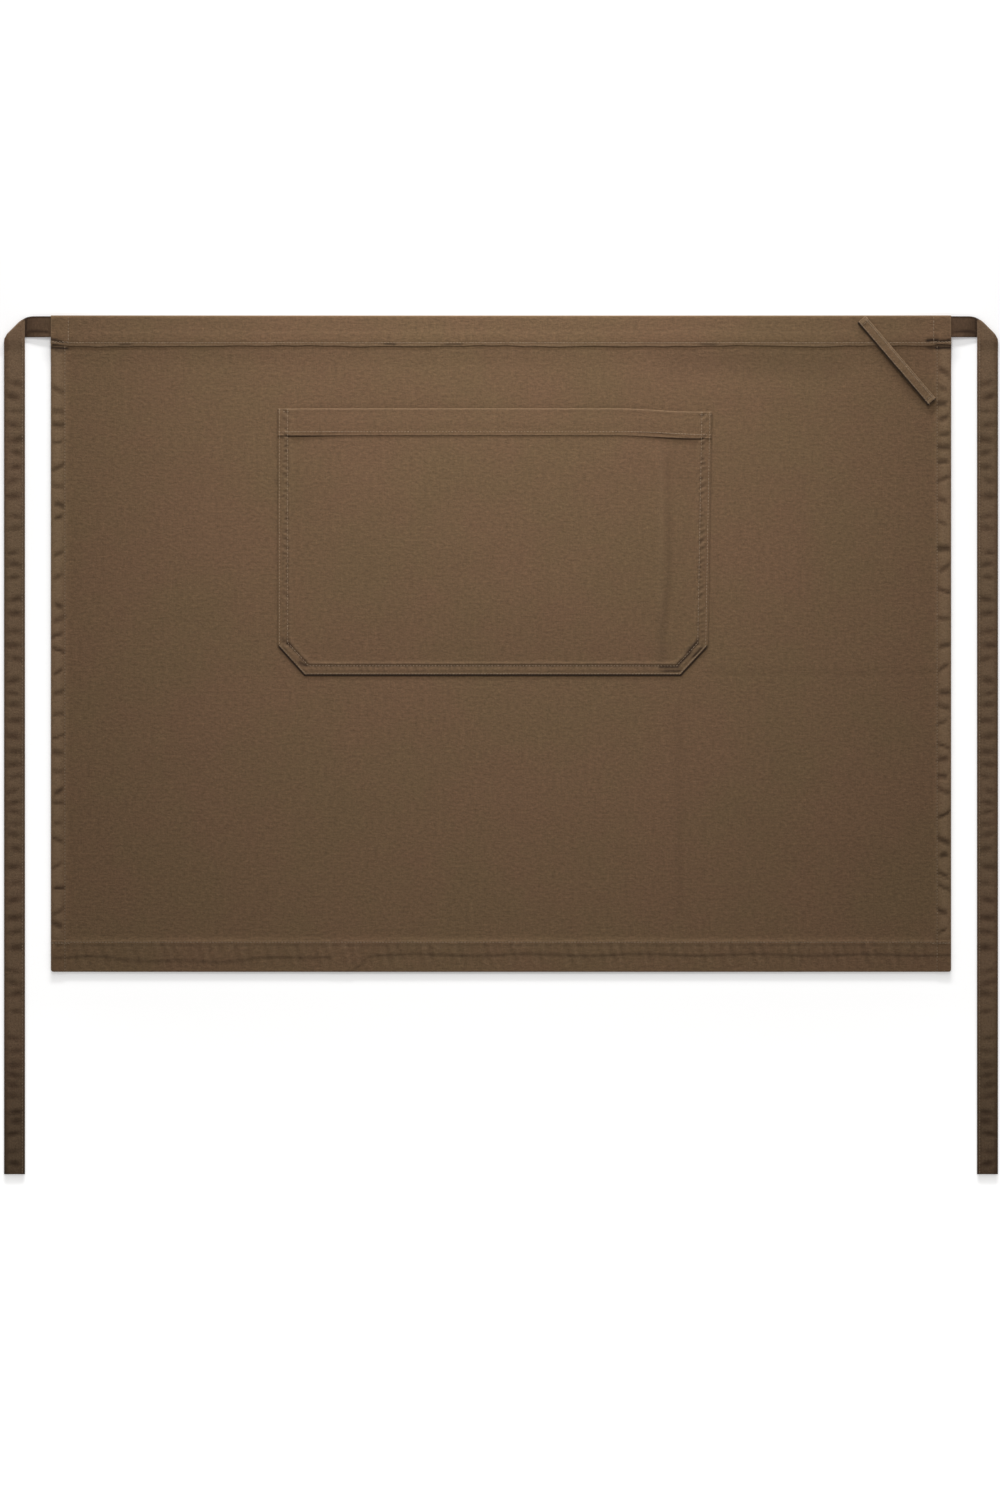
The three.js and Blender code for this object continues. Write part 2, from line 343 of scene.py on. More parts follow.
canvasFinish = {
    "name": "garment_dyed_canvas",
    "colour": (0.1345, 0.0800, 0.0415),
    "olive": (0.1300, 0.0835, 0.0405),
    "rust": (0.1405, 0.0780, 0.0430),
    # the colour of worn edges and of painted highlights
    "worn": (0.235, 0.158, 0.092),
    # painted shade: the colour that creases, grooves, the ground under raised edges and shaded parts are
    # darkened towards
    "deep": (0.024, 0.013, 0.007),
    "roughness": 0.88,
    "roughFuzz": 0.08,
    "weaveDepth": 0.00022,
}
# The ties' canvas: the apron's canvas made darker, painted shade for the light that falls off towards the
# sides.
tieFinish = dict(
    canvasFinish,
    name="garment_dyed_strap_painted_darker",
    colour=(0.119, 0.0705, 0.0390),
    olive=(0.115, 0.0735, 0.0380),
    rust=(0.124, 0.0690, 0.0400),
    deep=(0.030, 0.015, 0.007),
    worn=(0.205, 0.138, 0.082),
)
# The layers of the weave: how many to a metre, and their shares of the shade and of the relief.
weaveScale = {
    "slubWidth": 1700,
    "slubLength": 60,
    "napAcross": 230,
    "napAlong": 410,
    "fuzz": 5200,
    "grain": 620,
    "mottle": 95,
    "patches": 9,
    "hueSpots": 60,
    "hueClouds": 8.5,
}
# The weave's share of the shade is painted shade in the gaps between its threads; the slubs, grain, nap,
# mottle and patches are the cloth's own tone.
weaveShade = {"weave": 0.10, "slubs": 0.50, "grain": 0.56, "nap": 0.92, "mottle": 0.10, "patches": 0.07}
weaveRelief = {"weave": 0.75, "slubs": 0.8, "fuzz": 0.35, "grain": 0.9, "nap": 2.4}
dyeing = {
    "base": 0.17,
    "spots": 0.22,
    "clouds": 0.78,
    "contrast": 5.0,
    "tint": 0.5,
    "rubAndHighlight": 1.6,
    "rubAndHighlightFrom": 0.15,
}


def makeCanvas(sizes, endShade=None):
    # plain-woven cotton: warp and weft on the cloth's own map, dye that took unevenly, worn edges with
    # painted highlights, and painted shade
    finish = Finish(sizes["name"])
    place = finish.onObject()
    flat = finish.add("ShaderNodeUVMap", {"uv_map": "cloth"})
    u, v, _ = finish.axes(flat)
    turns = math.pi / (cloth["thread"] * mm)
    warp, weft = (u * turns).sine(), (v * turns).sine()
    over = warp * weft * 0.5 + 0.5
    slubWidth, slubLength = weaveScale["slubWidth"], weaveScale["slubLength"]
    slubs = finish.threads(flat, slubWidth, slubLength) + finish.threads(flat, slubLength, slubWidth)
    layers = {
        "weave": warp.size() * over + weft.size() * (1 - over),
        "slubs": slubs * 0.5,
        "fuzz": finish.noise(flat, weaveScale["fuzz"]),
        "grain": finish.noise(flat, weaveScale["grain"], detail=3, roughness=0.65),
        "nap": finish.threads(flat, weaveScale["napAcross"], weaveScale["napAlong"], roughness=0.62),
        "mottle": finish.noise(place, weaveScale["mottle"], detail=3, roughness=0.55),
        "patches": finish.noise(place, weaveScale["patches"]),
    }
    shade = sum(layers[name] * share for name, share in weaveShade.items()) - dyeing["base"]
    relief = sum(layers[name] * share for name, share in weaveRelief.items())

    hue = finish.noise(place, weaveScale["hueSpots"]) * dyeing["spots"]
    hue = hue + finish.noise(place, weaveScale["hueClouds"]) * dyeing["clouds"]
    hue = (hue - 0.5) * dyeing["contrast"] + 0.5
    dye = finish.blend("MIX", hue, (*sizes["olive"], 1), (*sizes["rust"], 1))
    dye = finish.blend("MIX", dyeing["tint"], (*sizes["colour"], 1), dye)
    # painted shade: darker towards the ends of the ties
    if endShade:
        start, end = endShade["from"] * mm, endShade["to"] * mm
        shade = shade * finish.fade(finish.axes(place)[1], start, end, 1.0, endShade["shade"])
    dye = finish.scaled(dye, shade)
    # worn edges lighten, and the same mark paints highlights on ridges and raised parts, broken up by the
    # grain
    wearAndHighlightMask = finish.mark("worn") * (layers["grain"] * dyeing["rubAndHighlight"] - dyeing["rubAndHighlightFrom"])
    dye = finish.blend("MIX", wearAndHighlightMask, dye, (*sizes["worn"], 1))
    # painted shade: this mark darkens the cloth in creases and grooves, under raised edges and on parts that
    # lie in the shade of others
    dye = finish.blend("MIX", finish.mark("deep"), dye, (*sizes["deep"], 1))

    normal = finish.add("ShaderNodeBump", None, {
        "Strength": 0.85,
        "Distance": sizes["weaveDepth"],
        "Height": relief,
    })
    shader = finish.add("ShaderNodeBsdfPrincipled", None, {
        "Base Color": dye,
        "Roughness": layers["fuzz"] * sizes["roughFuzz"] + sizes["roughness"],
        "Normal": normal,
        "Specular IOR Level": 0.22,
        "Sheen Weight": 0.12,
        "Sheen Roughness": 0.45,
        "Sheen Tint": (0.9, 0.78, 0.66, 1),
    })
    return finish.done(shader)


threadFinish = {
    "name": "cotton_thread",
    "dark": (0.140, 0.090, 0.050),
    "light": (0.310, 0.220, 0.138),
    "roughness": 0.62,
    "twist": 1500,
    "twistDepth": 0.00006,
    "spots": 420,
    "contrast": 1.5,
    # how dark the painted shade in the twist's grooves gets
    "between": 0.45,
}


def makeThread(sizes):
    # spun thread, each stitch a little lighter or darker, with its twist as relief and painted shade in the
    # twist's grooves
    finish = Finish(sizes["name"])
    place = finish.onObject()
    shade = (finish.noise(place, sizes["spots"], detail=1) - 0.5) * sizes["contrast"] + 0.5
    dye = finish.blend("MIX", shade, (*sizes["dark"], 1), (*sizes["light"], 1))
    x, y, z = finish.axes(place)
    twist = ((x + y + z * 2) * (2 * math.pi * sizes["twist"])).sine() * 0.5 + 0.5
    normal = finish.add("ShaderNodeBump", None, {
        "Strength": 0.7,
        "Distance": sizes["twistDepth"],
        "Height": twist,
    })
    # painted shade: the twist's grooves are darkened
    stops = {"stops": ((0, sizes["between"]), (1, 1.0))}
    dye = finish.blend("MULTIPLY", 0.25, dye, finish.add("ShaderNodeValToRGB", stops, {"Fac": twist}))
    shader = finish.add("ShaderNodeBsdfPrincipled", None, {
        "Base Color": dye,
        "Roughness": sizes["roughness"],
        "Normal": normal,
        "Specular IOR Level": 0.3,
        "Sheen Weight": 0.1,
    })
    return finish.done(shader)


canvas = makeCanvas(canvasFinish)
# the ties get darker towards their ends: painted shade
strapEndsPaintedShade = {"from": rowAt(990), "to": rowAt(1160), "shade": 0.62}
strapCanvas = makeCanvas(tieFinish, strapEndsPaintedShade)
thread = makeThread(threadFinish)
print("finishes made")


# The front panel: one ply, its side and lower hems turned twice to the back.
# In the pieces' dictionaries three numbers are a strength, a distance and a half width, a beat is a length,
# how far it sways and the sway's own length, waves are a seed and a length, and most other pairs are a start
# and a reach.
panel = {
    "sideSeam": 13.4,
    "sideTurn": 14.7,
    "bottomSeam": 27.7,
    "bottomTurn": 28.9,
    "beforeSeam": 0.3,
    "settle": 5.0,
    "beforeTurn": 0.1,
    "turnReach": 0.3,
    "corner": 2.4,
    "cornerBulk": 0.45,
    "groove": (0.15, 0, 0.9),
    "grooveEnds": (0.5, 2),
    "lift": 0.45,
    "waveSeed": 11,
    "waves": 150,
    "puff": 0.5,
    "pucker": 1.15,
    "backPucker": 0.18,
    "hemRise": (-3, 6),
    "hemFall": (11.0, 6.5),
    "hemFoot": (24, 12),
    "roping": 0.22,
    "ropeRise": (1, 9),
    "ropeFall": (24.5, 5),
    "ropeEnds": (10, 12),
    "twistBeat": (1.7, 1.7, 23),
    "twistLean": 5,
    "twistSwell": (9.5, 0.8, 31),
    "beadBeat": (1.9, 2.2, 17),
    "beadSwell": 14.3,
    "beads": (0.28, -2.4, 2.2),
    "overhang": 0.6,
    "overhangReach": 24,
}
# Wear along the panel's edges and seams, and painted highlights on the hem's ridges between the pinches and
# on the ropes' tops.
panelWearAndHighlights = {
    "edge": (0.55, 0, 0.9),
    "hem": (0.58, 6.5, 6),
    "valleys": 1.6,
    "sideSeam": (0.12, 1.2, 1.0),
    "bottomSeam": (0.16, 0.9, 0.7),
    "rope": 0.22,
    "beads": (0.45, 24.6, 2.6),
}
# Painted shade in the panel's end puckers, folds, rope troughs, pinches, seam grooves and below the
# allowance's step.
panelShade = {
    "endPuckers": 1.35,
    "folds": 0.42,
    "rope": 0.20,
    "valleys": 0.72,
    "sideSeam": (0.16, -0.2, 0.6),
    "bottomSeam": (0.30, -2.1, 0.9),
    "bottomEnds": (3, 3),
    "allowance": (0.30, 0, 1.4),
}
panelGrid = {
    "acrossPitch": 3.1,
    "upPitch": 2.4,
    "sides": (0, 0.12, 0.4, 0.9, 1.6, 3.0, 4.6, 6.2, 7.8, 9.4, 10.8, 12.0, 12.9, 13.4, 13.9, 14.5, 14.7,
              14.95, 15.6, 17, 19, 22),
    "bottom": (0, 0.12, 0.4, 0.9, 1.6, 3.5, 5.5, 7.5, 9.5, 11.5, 13.0, 14.2, 15.2, 16.4, 18, 20.5, 23, 25.2,
               26.8, 27.7, 28.5, 28.8, 29.1, 29.8, 31.5, 34),
    "top": (0, 2, 4, 6, 8, 9, 10, 11, 12, 13, 14, 15.5),
    "fineSides": 20,
    "fineBottom": 32,
    "fineTop": 17,
}
hemStack = 3 * cloth["ply"]
seatInBand = {"climb": 19, "field": 2 * cloth["ply"], "hem": 1.15}

# The turned allowance inside the lower hem, by columns and rows of the photo. It shows as a step that wavers
# on the left, ends, and begins again further right.
allowance = {
    "endColumn": 338,
    "beginColumn": 348,
    "leftRow": 958.5,
    "rightRow": 954.5,
    "leftBends": ((2.2, 38), (1.0, 13)),
    "rightBends": ((0.7, 17),),
    "endFade": 12,
    "beginFade": 5,
    "beginClimb": 24,
    "height": 0.34,
    "halfStep": 0.9,
}

# Rows of the photo where each side hem is pinched.
leftPinches = (391, 412, 426, 443, 468, 487, 505, 518, 554, 577, 606, 620, 635, 650, 672, 693, 714, 737,
               753, 772, 792, 803, 823, 840, 865, 888, 912, 925)
rightPinches = (372, 390, 404, 419, 435, 448, 462, 479, 501, 524, 549, 569, 591, 619, 646, 667, 693, 707,
                722, 746, 759, 776, 791, 815, 841, 855, 875, 887, 912, 930)
pinchSeeds = {"left": 3, "right": 4}
# What differs from pinch to pinch, drawn in this order.
pinchDraws = {
    "slant": (-0.6, 0.6),
    "strength": (0.45, 1),
    "halfwidth": (1.4, 2.9),
    "bend": (-0.03, 0.03),
    "begins": (-4, 2),
    "ends": (8, 12),
}
pinch = {"middle": 7, "fade": 5, "most": 1.15}

# Folds pressed or dragged into the panel:
# from column, from row, to column, to row, height, half width
panelFolds = (
    (60, 666, 278, 667, -0.30, 1.5),
    (60, 669, 278, 670, 0.16, 2.0),
    (708, 673, 940, 673, -0.24, 1.5),
    (708, 676, 940, 676, 0.12, 2.0),
    (678, 700, 679, 916, -0.22, 2.0),
    (333, 683, 352, 693, 0.22, 2.2),
    (372, 682, 396, 696, 0.20, 2.6),
    (438, 684, 462, 700, 0.20, 2.6),
    (512, 682, 530, 694, 0.20, 2.4),
    (566, 684, 591, 706, 0.22, 2.8),
    (640, 684, 652, 696, 0.16, 2.2),
    (672, 366, 836, 374, -0.26, 12.5),
    (700, 392, 860, 399, 0.22, 13.0),
    (96, 432, 250, 470, 0.20, 16.0),
    (120, 760, 240, 730, 0.18, 15.0),
    (742, 800, 880, 846, 0.20, 17.0),
    (330, 790, 560, 812, 0.16, 15.0),
)

endPuckers = (
    (52, 348.4, 68, 349.2, -0.80, 1.3),
    (56, 351.2, 64, 352.4, -0.35, 1.2),
    (927, 348.2, 938, 348.6, -0.55, 1.2),
    (936, 348.6, 950, 348.4, -0.85, 1.4),
)


def pinched(x, y, rows, seed):
    # the narrow valleys that the hem's seam draws across it, at the photo's rows
    draw = np.random.default_rng(seed)
    inside = halfWidth - np.abs(x)
    off = inside - pinch["middle"]
    total = 0
    for row in rows:
        slant, strength, halfwidth, bend, begins, ends = (
            draw.uniform(*limits) for limits in pinchDraws.values())
        reach = smooth(inside, begins, pinch["fade"]) * (1 - smooth(inside, ends, pinch["fade"]))
        total = total + strength * reach * hump(y - rowAt(row) - slant * off - bend * off ** 2, halfwidth)
    return np.clip(total, 0, pinch["most"])


def allowanceEdge(x):
    # how far up the allowance inside the lower hem ends, and how much of its step shows
    end, begin = columnAt(allowance["endColumn"]), columnAt(allowance["beginColumn"])
    left = rowAt(allowance["leftRow"]) - bottomEdge + bent(x, allowance["leftBends"])
    right = (rowAt(allowance["rightRow"]) - bottomEdge) * smooth(x, begin, allowance["beginClimb"])
    right = right + bent(x, allowance["rightBends"])
    leftStep = 1 - smooth(x, end - allowance["endFade"], allowance["endFade"])
    rightStep = smooth(x, begin, allowance["beginFade"])
    onLeft = x < (end + begin) / 2
    return np.where(onLeft, left, right), np.where(onLeft, leftStep, rightStep)


def panelLevels(x, y):
    # the front surface, the back surface, how worn the cloth is with painted highlights on its ridges, and
    # where painted shade lies on it
    ply = cloth["ply"]
    sideIn, bottomIn = halfWidth - np.abs(x), y - bottomEdge
    fromSide, fromBottom = sideIn - panel["sideSeam"], bottomIn - panel["bottomSeam"]
    side = 1 - smooth(fromSide, -panel["beforeSeam"], panel["settle"])
    bottom = 1 - smooth(fromBottom, -panel["beforeSeam"], panel["settle"])
    stack = np.maximum(side, bottom)
    inSide = 1 - smooth(sideIn, panel["sideTurn"] - panel["beforeTurn"], panel["turnReach"])
    inBottom = 1 - smooth(bottomIn, panel["bottomTurn"] - panel["beforeTurn"], panel["turnReach"])
    turned = np.maximum(inSide, inBottom)
    lying = panel["lift"] * softWaves(x, y, panel["waveSeed"], panel["waves"])
    folds = foldsOver(x, y, panelFolds)
    puckers = foldsOver(x, y, endPuckers)

    front = ply + stack * 2 * ply + (lying + folds) * (1 - stack) + puckers
    front = front + panel["cornerBulk"] * inSide * inBottom
    front = front - softLine(fromSide, panel["groove"])
    front = front - softLine(fromBottom, panel["groove"]) * smooth(sideIn, *panel["grooveEnds"])

    # pinches and puffs down the side hems
    left = pinched(x, y, leftPinches, pinchSeeds["left"])
    valleys = np.where(x < 0, left, pinched(x, y, rightPinches, pinchSeeds["right"]))
    hem = smooth(sideIn, *panel["hemRise"]) * (1 - smooth(sideIn, *panel["hemFall"]))
    hem = hem * smooth(bottomIn, *panel["hemFoot"])
    front = front + hem * (panel["puff"] - panel["pucker"] * valleys)

    # ropes and beads along the lower hem, and the edge of the turned allowance inside it
    ropeEnds = smooth(sideIn, *panel["ropeEnds"])
    rope = smooth(bottomIn, *panel["ropeRise"]) * (1 - smooth(bottomIn, *panel["ropeFall"])) * ropeEnds
    twist = rippled(x, panel["twistBeat"], bottomIn / panel["twistLean"]) * rippled(x, panel["twistSwell"])
    beads = rippled(x, panel["beadBeat"]) * (0.5 + 0.5 * np.sin(x / panel["beadSwell"]))
    front = front + panel["roping"] * rope * twist
    front = front - beads * softLine(fromBottom, panel["beads"]) * ropeEnds
    line, step = allowanceEdge(x)
    step = step * inBottom
    climbed = smooth(bottomIn - line, -allowance["halfStep"], 2 * allowance["halfStep"]) - 0.5
    front = front + allowance["height"] * climbed * step

    back = (front - ply) * (1 - turned) + turned * panel["backPucker"] * hem * valleys
    edge = np.minimum(sideIn, bottomIn)
    front, back = meetAtEdge(front, back, hemStack / 2, roundOff(edge, hemStack / 2))

    # the raw top climbs between the waistband's plies
    climb = smooth(y, bandLower - seatInBand["climb"], seatInBand["climb"])
    seat = between(seatInBand["field"], seatInBand["hem"], stack)
    front = between(front, seat + ply + stack * 2 * ply, climb)
    back = between(back, seat, climb)

    # worn edges and seams with painted highlights on the ridges, then painted shade in the hollows and
    # grooves
    ridges = np.clip(1 - panelWearAndHighlights["valleys"] * valleys, 0, 1)
    worn = softLine(edge, panelWearAndHighlights["edge"]) + hem * ridges * softLine(sideIn, panelWearAndHighlights["hem"])
    worn = worn + softLine(fromSide, panelWearAndHighlights["sideSeam"]) + softLine(fromBottom, panelWearAndHighlights["bottomSeam"])
    worn = worn + panelWearAndHighlights["rope"] * rope * np.clip(twist, 0, 1)
    worn = worn + np.clip(beads, 0, 1) * softLine(bottomIn, panelWearAndHighlights["beads"])
    deep = panelShade["endPuckers"] * np.clip(-puckers, 0, 1)
    deep = deep + panelShade["folds"] * np.clip(-folds, 0, 1) * (1 - stack)
    deep = deep + panelShade["rope"] * rope * np.clip(-twist, 0, 1) + panelShade["valleys"] * hem * valleys
    deep = deep + softLine(fromSide, panelShade["sideSeam"])
    deep = deep + softLine(fromBottom, panelShade["bottomSeam"]) * smooth(sideIn, *panelShade["bottomEnds"])
    deep = deep + softLine(bottomIn - line, panelShade["allowance"]) * step
    return front, back, np.clip(worn, 0, 1), np.clip(deep, 0, 1)


def makePanel():
    grid = panelGrid
    xs = stations(grid["sides"], -halfWidth, halfWidth, grid["acrossPitch"], grid["sides"])
    ys = stations(grid["bottom"], bottomEdge, panelTop, grid["upPitch"], grid["top"])
    x, y = np.meshgrid(xs, ys)
    front, back, worn, deep = panelLevels(x, y)

    # the two lower corners are drawn in to a small round
    corner = panel["corner"]
    outX, outY = np.abs(x) - halfWidth + corner, bottomEdge + corner - y
    cornered = (outX > 0) & (outY > 0)
    span = np.where(cornered, np.hypot(outX, outY), 1)
    pull = np.maximum(outX, outY) / span
    roundX = np.where(cornered, np.sign(x) * (halfWidth - corner + outX * pull), x)
    roundY = np.where(cornered, bottomEdge + corner - outY * pull, y)

    roundY = roundY - panel["overhang"] * (1 - smooth(y, bottomEdge, panel["overhangReach"]))
    hem = (halfWidth - np.abs(x) < grid["fineSides"]) | (y - bottomEdge < grid["fineBottom"])
    hem = hem | (y > panelTop - grid["fineTop"])
    fine = hem[:-1:2, :-1:2] | hem[2::2, :-1:2] | hem[:-1:2, 2::2] | hem[2::2, 2::2]
    face = np.stack([roundX, roundY, front], axis=2)
    under = np.stack([roundX, roundY, np.maximum(back, 0)], axis=2)
    uv = np.stack([x, y], axis=2)
    return clothWall("front_panel_cloth", face, under, uv, {"worn": worn, "deep": deep}, canvas, fine)


panelCloth = makePanel()


# The waistband: a strip folded over the panel's top, both lower edges turned in and sewn through.
band = {
    "seam": rowAt(343.4),
    "allowance": rowAt(333),
    "allowanceEdge": (-0.4, 0.8),
    "allowanceDrop": (-0.6, 1.6),
    "seamLevel": 3.5,
    "puff": (0.25, 0, 5.5),
    "upperDrop": 0.12,
    "groove": (0.26, 0, 0.9),
    "foldRadius": 2.0,
    "foldSteps": 10,
    "endBulge": 0.85,
    "endReach": (6, 20),
    "waviness": 1.15,
    "lowerWaves": (21, 75),
    "lowerBeat": (6.1, 2, 29),
    "lowerRipple": 0.22,
    "lowerReach": 6,
    "ripple": 0.30,
    "rippleBeat": (1.45, 1.6, 19),
    "rippleRise": (0, 3),
    "rippleFall": (4, 9),
    "rippleLeast": 0.35,
    "rippleWaves": (5, 60),
    "unevenness": 0.22,
    "slowWaves": (8, 70),
    "backWaves": (31, 60),
    "backLift": 0.12,
    "pressed": 0.36,
    "pressedReach": (0.2, 3.0),
    "overTop": 0.45,
    "sliver": 0.01,
}
# Wear at the waistband's fold, edges and ends, and a painted highlight beside its front seam.
bandWearAndHighlights = {
    "fold": (0.55, math.pi / 2.6, 0.7),
    "frontEdge": (0.42, 0.7, 0.9),
    "frontSeam": (0.34, -0.6, 1.1),
    "backEdge": (0.35, 0.7, 0.9),
    "ends": (0.5, 0, 0.8),
}
# Painted shade in the waistband's seam grooves and pressed folds.
bandShade = {"frontSeam": (0.10, -0.4, 0.6), "backSeam": (0.15, -0.4, 0.6), "folds": 2.4, "foldsMost": 0.6}
bandGrid = {
    "pitch": 2.9,
    "ends": (0, 0.3, 1, 2, 3.5, 5, 7, 9, 11, 13, 15, 17, 20),
    "up": (0, 0.08, 0.25, 0.5, 0.8, 1.3, 1.9, 2.5, 3.0, 3.5, 4.0, 4.8, 6, 8, 10, 12, 12.9, 13.4, 14.2, 16,
           18.5, 21, 23.5, 25.5),
}
bandFolds = (
    (52, 340.0, 63, 343.2, -0.55, 1.1),
    (54, 346.2, 68, 348.0, -0.65, 1.2),
    (53, 344.0, 66, 345.0, 0.30, 1.0),
    (926, 341.6, 936, 340.4, -0.75, 1.1),
    (935, 342.6, 949, 341.2, -0.55, 1.1),
    (936, 346.6, 950, 347.2, -0.65, 1.2),
    (938, 344.4, 949, 344.2, 0.35, 1.0),
    (384, 344.6, 396, 345.0, -0.30, 1.0),
    (444, 345.4, 462, 345.0, -0.22, 1.0),
    (120, 345.2, 132, 345.0, -0.22, 1.0),
    (700, 345.2, 716, 345.4, -0.22, 1.0),
    (212, 322, 300, 327, 0.14, 4.0),
    (540, 323, 660, 327, 0.14, 4.0),
)


def bandFront(x, y):
    # the height of the waistband's front surface, before its edges are rounded
    aboveSeam = y - band["seam"]
    level = band["seamLevel"] + softLine(y - (band["seam"] + band["allowance"]) / 2, band["puff"])
    level = level + band["endBulge"] * (1 - smooth(halfWidth - np.abs(x), *band["endReach"]))
    level = level - band["upperDrop"] * smooth(y - band["allowance"], *band["allowanceDrop"])
    level = level - band["pressed"] * (1 - smooth(y - bandLower, *band["pressedReach"]))
    level = level - softLine(aboveSeam, band["groove"]) + foldsOver(x, y, bandFolds)
    ripple = rippled(x, band["rippleBeat"])
    ripple = ripple * between(band["rippleLeast"], 1, softWaves(x, 0 * y, *band["rippleWaves"]))
    ripple = ripple * smooth(aboveSeam, *band["rippleRise"]) * (1 - smooth(aboveSeam, *band["rippleFall"]))
    level = level + band["ripple"] * ripple
    return level + band["unevenness"] * (softWaves(x, y, *band["slowWaves"]) - 0.5)


def bandLift(x):
    # the sewn lower edge isn't quite straight
    slow = band["waviness"] * (softWaves(x, 0 * x, *band["lowerWaves"]) - 0.5)
    return slow + band["lowerRipple"] * rippled(x, band["lowerBeat"])


def bandWall(y):
    # how thick the folded strip's front and back are at a height
    pressed = band["pressed"] * (1 - smooth(y - bandLower, *band["pressedReach"]))
    return cloth["ply"] * (2 - smooth(y - band["allowance"], *band["allowanceEdge"])) - pressed


def makeWaistband():
    ply = cloth["ply"]
    xs = stations(bandGrid["ends"], -halfWidth, halfWidth, bandGrid["pitch"], bandGrid["ends"])
    none = 0 * xs
    radius = band["foldRadius"]
    middle = topEdge + band["overTop"] - radius
    frontYs = [bandLower + up for up in bandGrid["up"] if bandLower + up < middle]
    arc = [math.pi * k / band["foldSteps"] for k in range(band["foldSteps"] + 1)]

    faces, backs, maps, worn, deep = [], [], [], [], []
    walked = 0.0
    last = (bandLower, 0.0)
    for part, values in (("front", frontYs), ("fold", arc), ("back", frontYs[::-1])):
        for value in values:
            if part == "fold":
                centre = bandFront(xs, none + middle) / 2
                outerY = none + middle + radius * math.sin(value)
                outerZ = centre + centre * math.cos(value)
                innerY = none + middle + (radius - ply) * math.sin(value)
                innerZ = centre + (centre - ply) * math.cos(value)
                here = (outerY[0], radius * (1 + math.cos(value)))
                rubAndHighlight = softLine(value, bandWearAndHighlights["fold"])
                shade = none
            else:
                up, aboveSeam = value - bandLower, value - band["seam"]
                outerY = innerY = none + value + bandLift(xs) * (1 - smooth(up, 0, band["lowerReach"]))
                wall = bandWall(value)
                nose = roundOff(up, wall / 2)
                here = (value, band["seamLevel"] if part == "front" else 0.0)
                if part == "front":
                    top = bandFront(xs, none + value)
                    outerZ, innerZ = meetAtEdge(top, top - wall, top - wall / 2, nose, band["sliver"])
                    # painted shade in the seam groove and the pressed folds, a painted highlight beside the
                    # seam
                    pressedIn = np.clip(-foldsOver(xs, none + value, bandFolds), 0, bandShade["foldsMost"])
                    shade = softLine(aboveSeam, bandShade["frontSeam"]) + bandShade["folds"] * pressedIn
                    rubAndHighlight = softLine(up, bandWearAndHighlights["frontEdge"]) + softLine(aboveSeam, bandWearAndHighlights["frontSeam"])
                else:
                    low = band["backLift"] * softWaves(xs, none + value, *band["backWaves"])
                    innerZ, outerZ = meetAtEdge(low + wall, low, low + wall / 2, nose, band["sliver"])
                    shade = none + softLine(aboveSeam, bandShade["backSeam"])
                    rubAndHighlight = softLine(up, bandWearAndHighlights["backEdge"])
            walked += math.dist(last, here)
            last = here
            faces.append(np.stack([xs, outerY, outerZ], axis=1))
            backs.append(np.stack([xs, innerY, innerZ], axis=1))
            maps.append(np.stack([xs, none + walked], axis=1))
            worn.append(rubAndHighlight + softLine(halfWidth - np.abs(xs), bandWearAndHighlights["ends"]))
            deep.append(shade)
    marks = {"worn": np.clip(np.array(worn), 0, 1), "deep": np.clip(np.array(deep), 0, 1)}
    return clothWall("waistband_cloth", np.array(faces), np.array(backs), np.array(maps), marks, canvas)


bandCloth = makeWaistband()


# The pocket: sewn down on three sides over a turned allowance, its mouth hemmed to the front.
pocket = {
    "outerRow": 2.0,
    "innerRow": 9.6,
    "allowance": (11.8, 2.0),
    "gape": 4.6,
    "gapeSides": 6,
    "gapeFoot": 4,
    "slackWaves": (41, 70),
    "slack": 0.25,
    "risesOver": 5,
    "bandHeight": 26.0,
    "bandRow": 22.2,
    "bandEdge": (-0.1, 0.5),
    "bandPlies": 1.05,
    "dip": 3.0,
    "dipStart": 0.8,
    "flare": 4.0,
    "chamferWide": 25.5,
    "chamferTall": 28.0,
    "pressed": 0.40,
    "pressedReach": (0.8, 2.0),
    "sag": 1.4,
    "noseRadius": 0.95,
    "foldsFrom": (1, 3),
    "bandSoftens": 0.35,
}
pocketMouth, pocketBottom = pocketHigh[1], pocketLow[1]
pocketLeft, pocketRight = pocketLow[0], pocketHigh[0] - pocket["flare"]

# The crease down its right part: a raised lip, a drop beside it and the step that is left.
crease = {
    "at": columnAt(668.5),
    "lip": (0.34, columnAt(661), 5.5),
    "drop": 0.62,
    "spread": (2.6, 6.0),        # half its width at the top and at the bottom
    "step": 0.3,
    "stepReach": (columnAt(661), 12),
    "fades": (4, 24),
    "leans": 6.5,
    "leanReach": (rowAt(640), 70),
    "upperEnd": (rowAt(470), 40),
}
# The border's seams. From here on, a pair whose name has no Reach, Ends or Waves in it holds the value at the
# pocket's sides and then the one along its lower edge.
border = {
    "outerGroove": (0.12, 0.24),
    "outerHalf": 0.8,
    "innerGroove": (0.168, 0.432),
    "innerHalf": 1.1,
    "bandGroove": (0.22, 0, 0.9),
    "bandGrooveEnds": (1, 4),
    "wrinkles": (1, 7.8, 3.6),
    "wrinklesFrom": 2,
    "wrinkleBeat": (0.95, 2.6, 9),
    "wrinkleLean": 1.9,
    "wrinkleSwell": (0.1, 1.3),        # least and most
    "wrinkleWaves": (43, 18),
    "wrinkleHeight": (0.576, 0.162),
    "innerPuckers": (0.10, 3.0, 2.6),
    "innerBeat": (1.6, 1.4, 15),
    "probe": 0.01,
    "slope": 0.2,
}
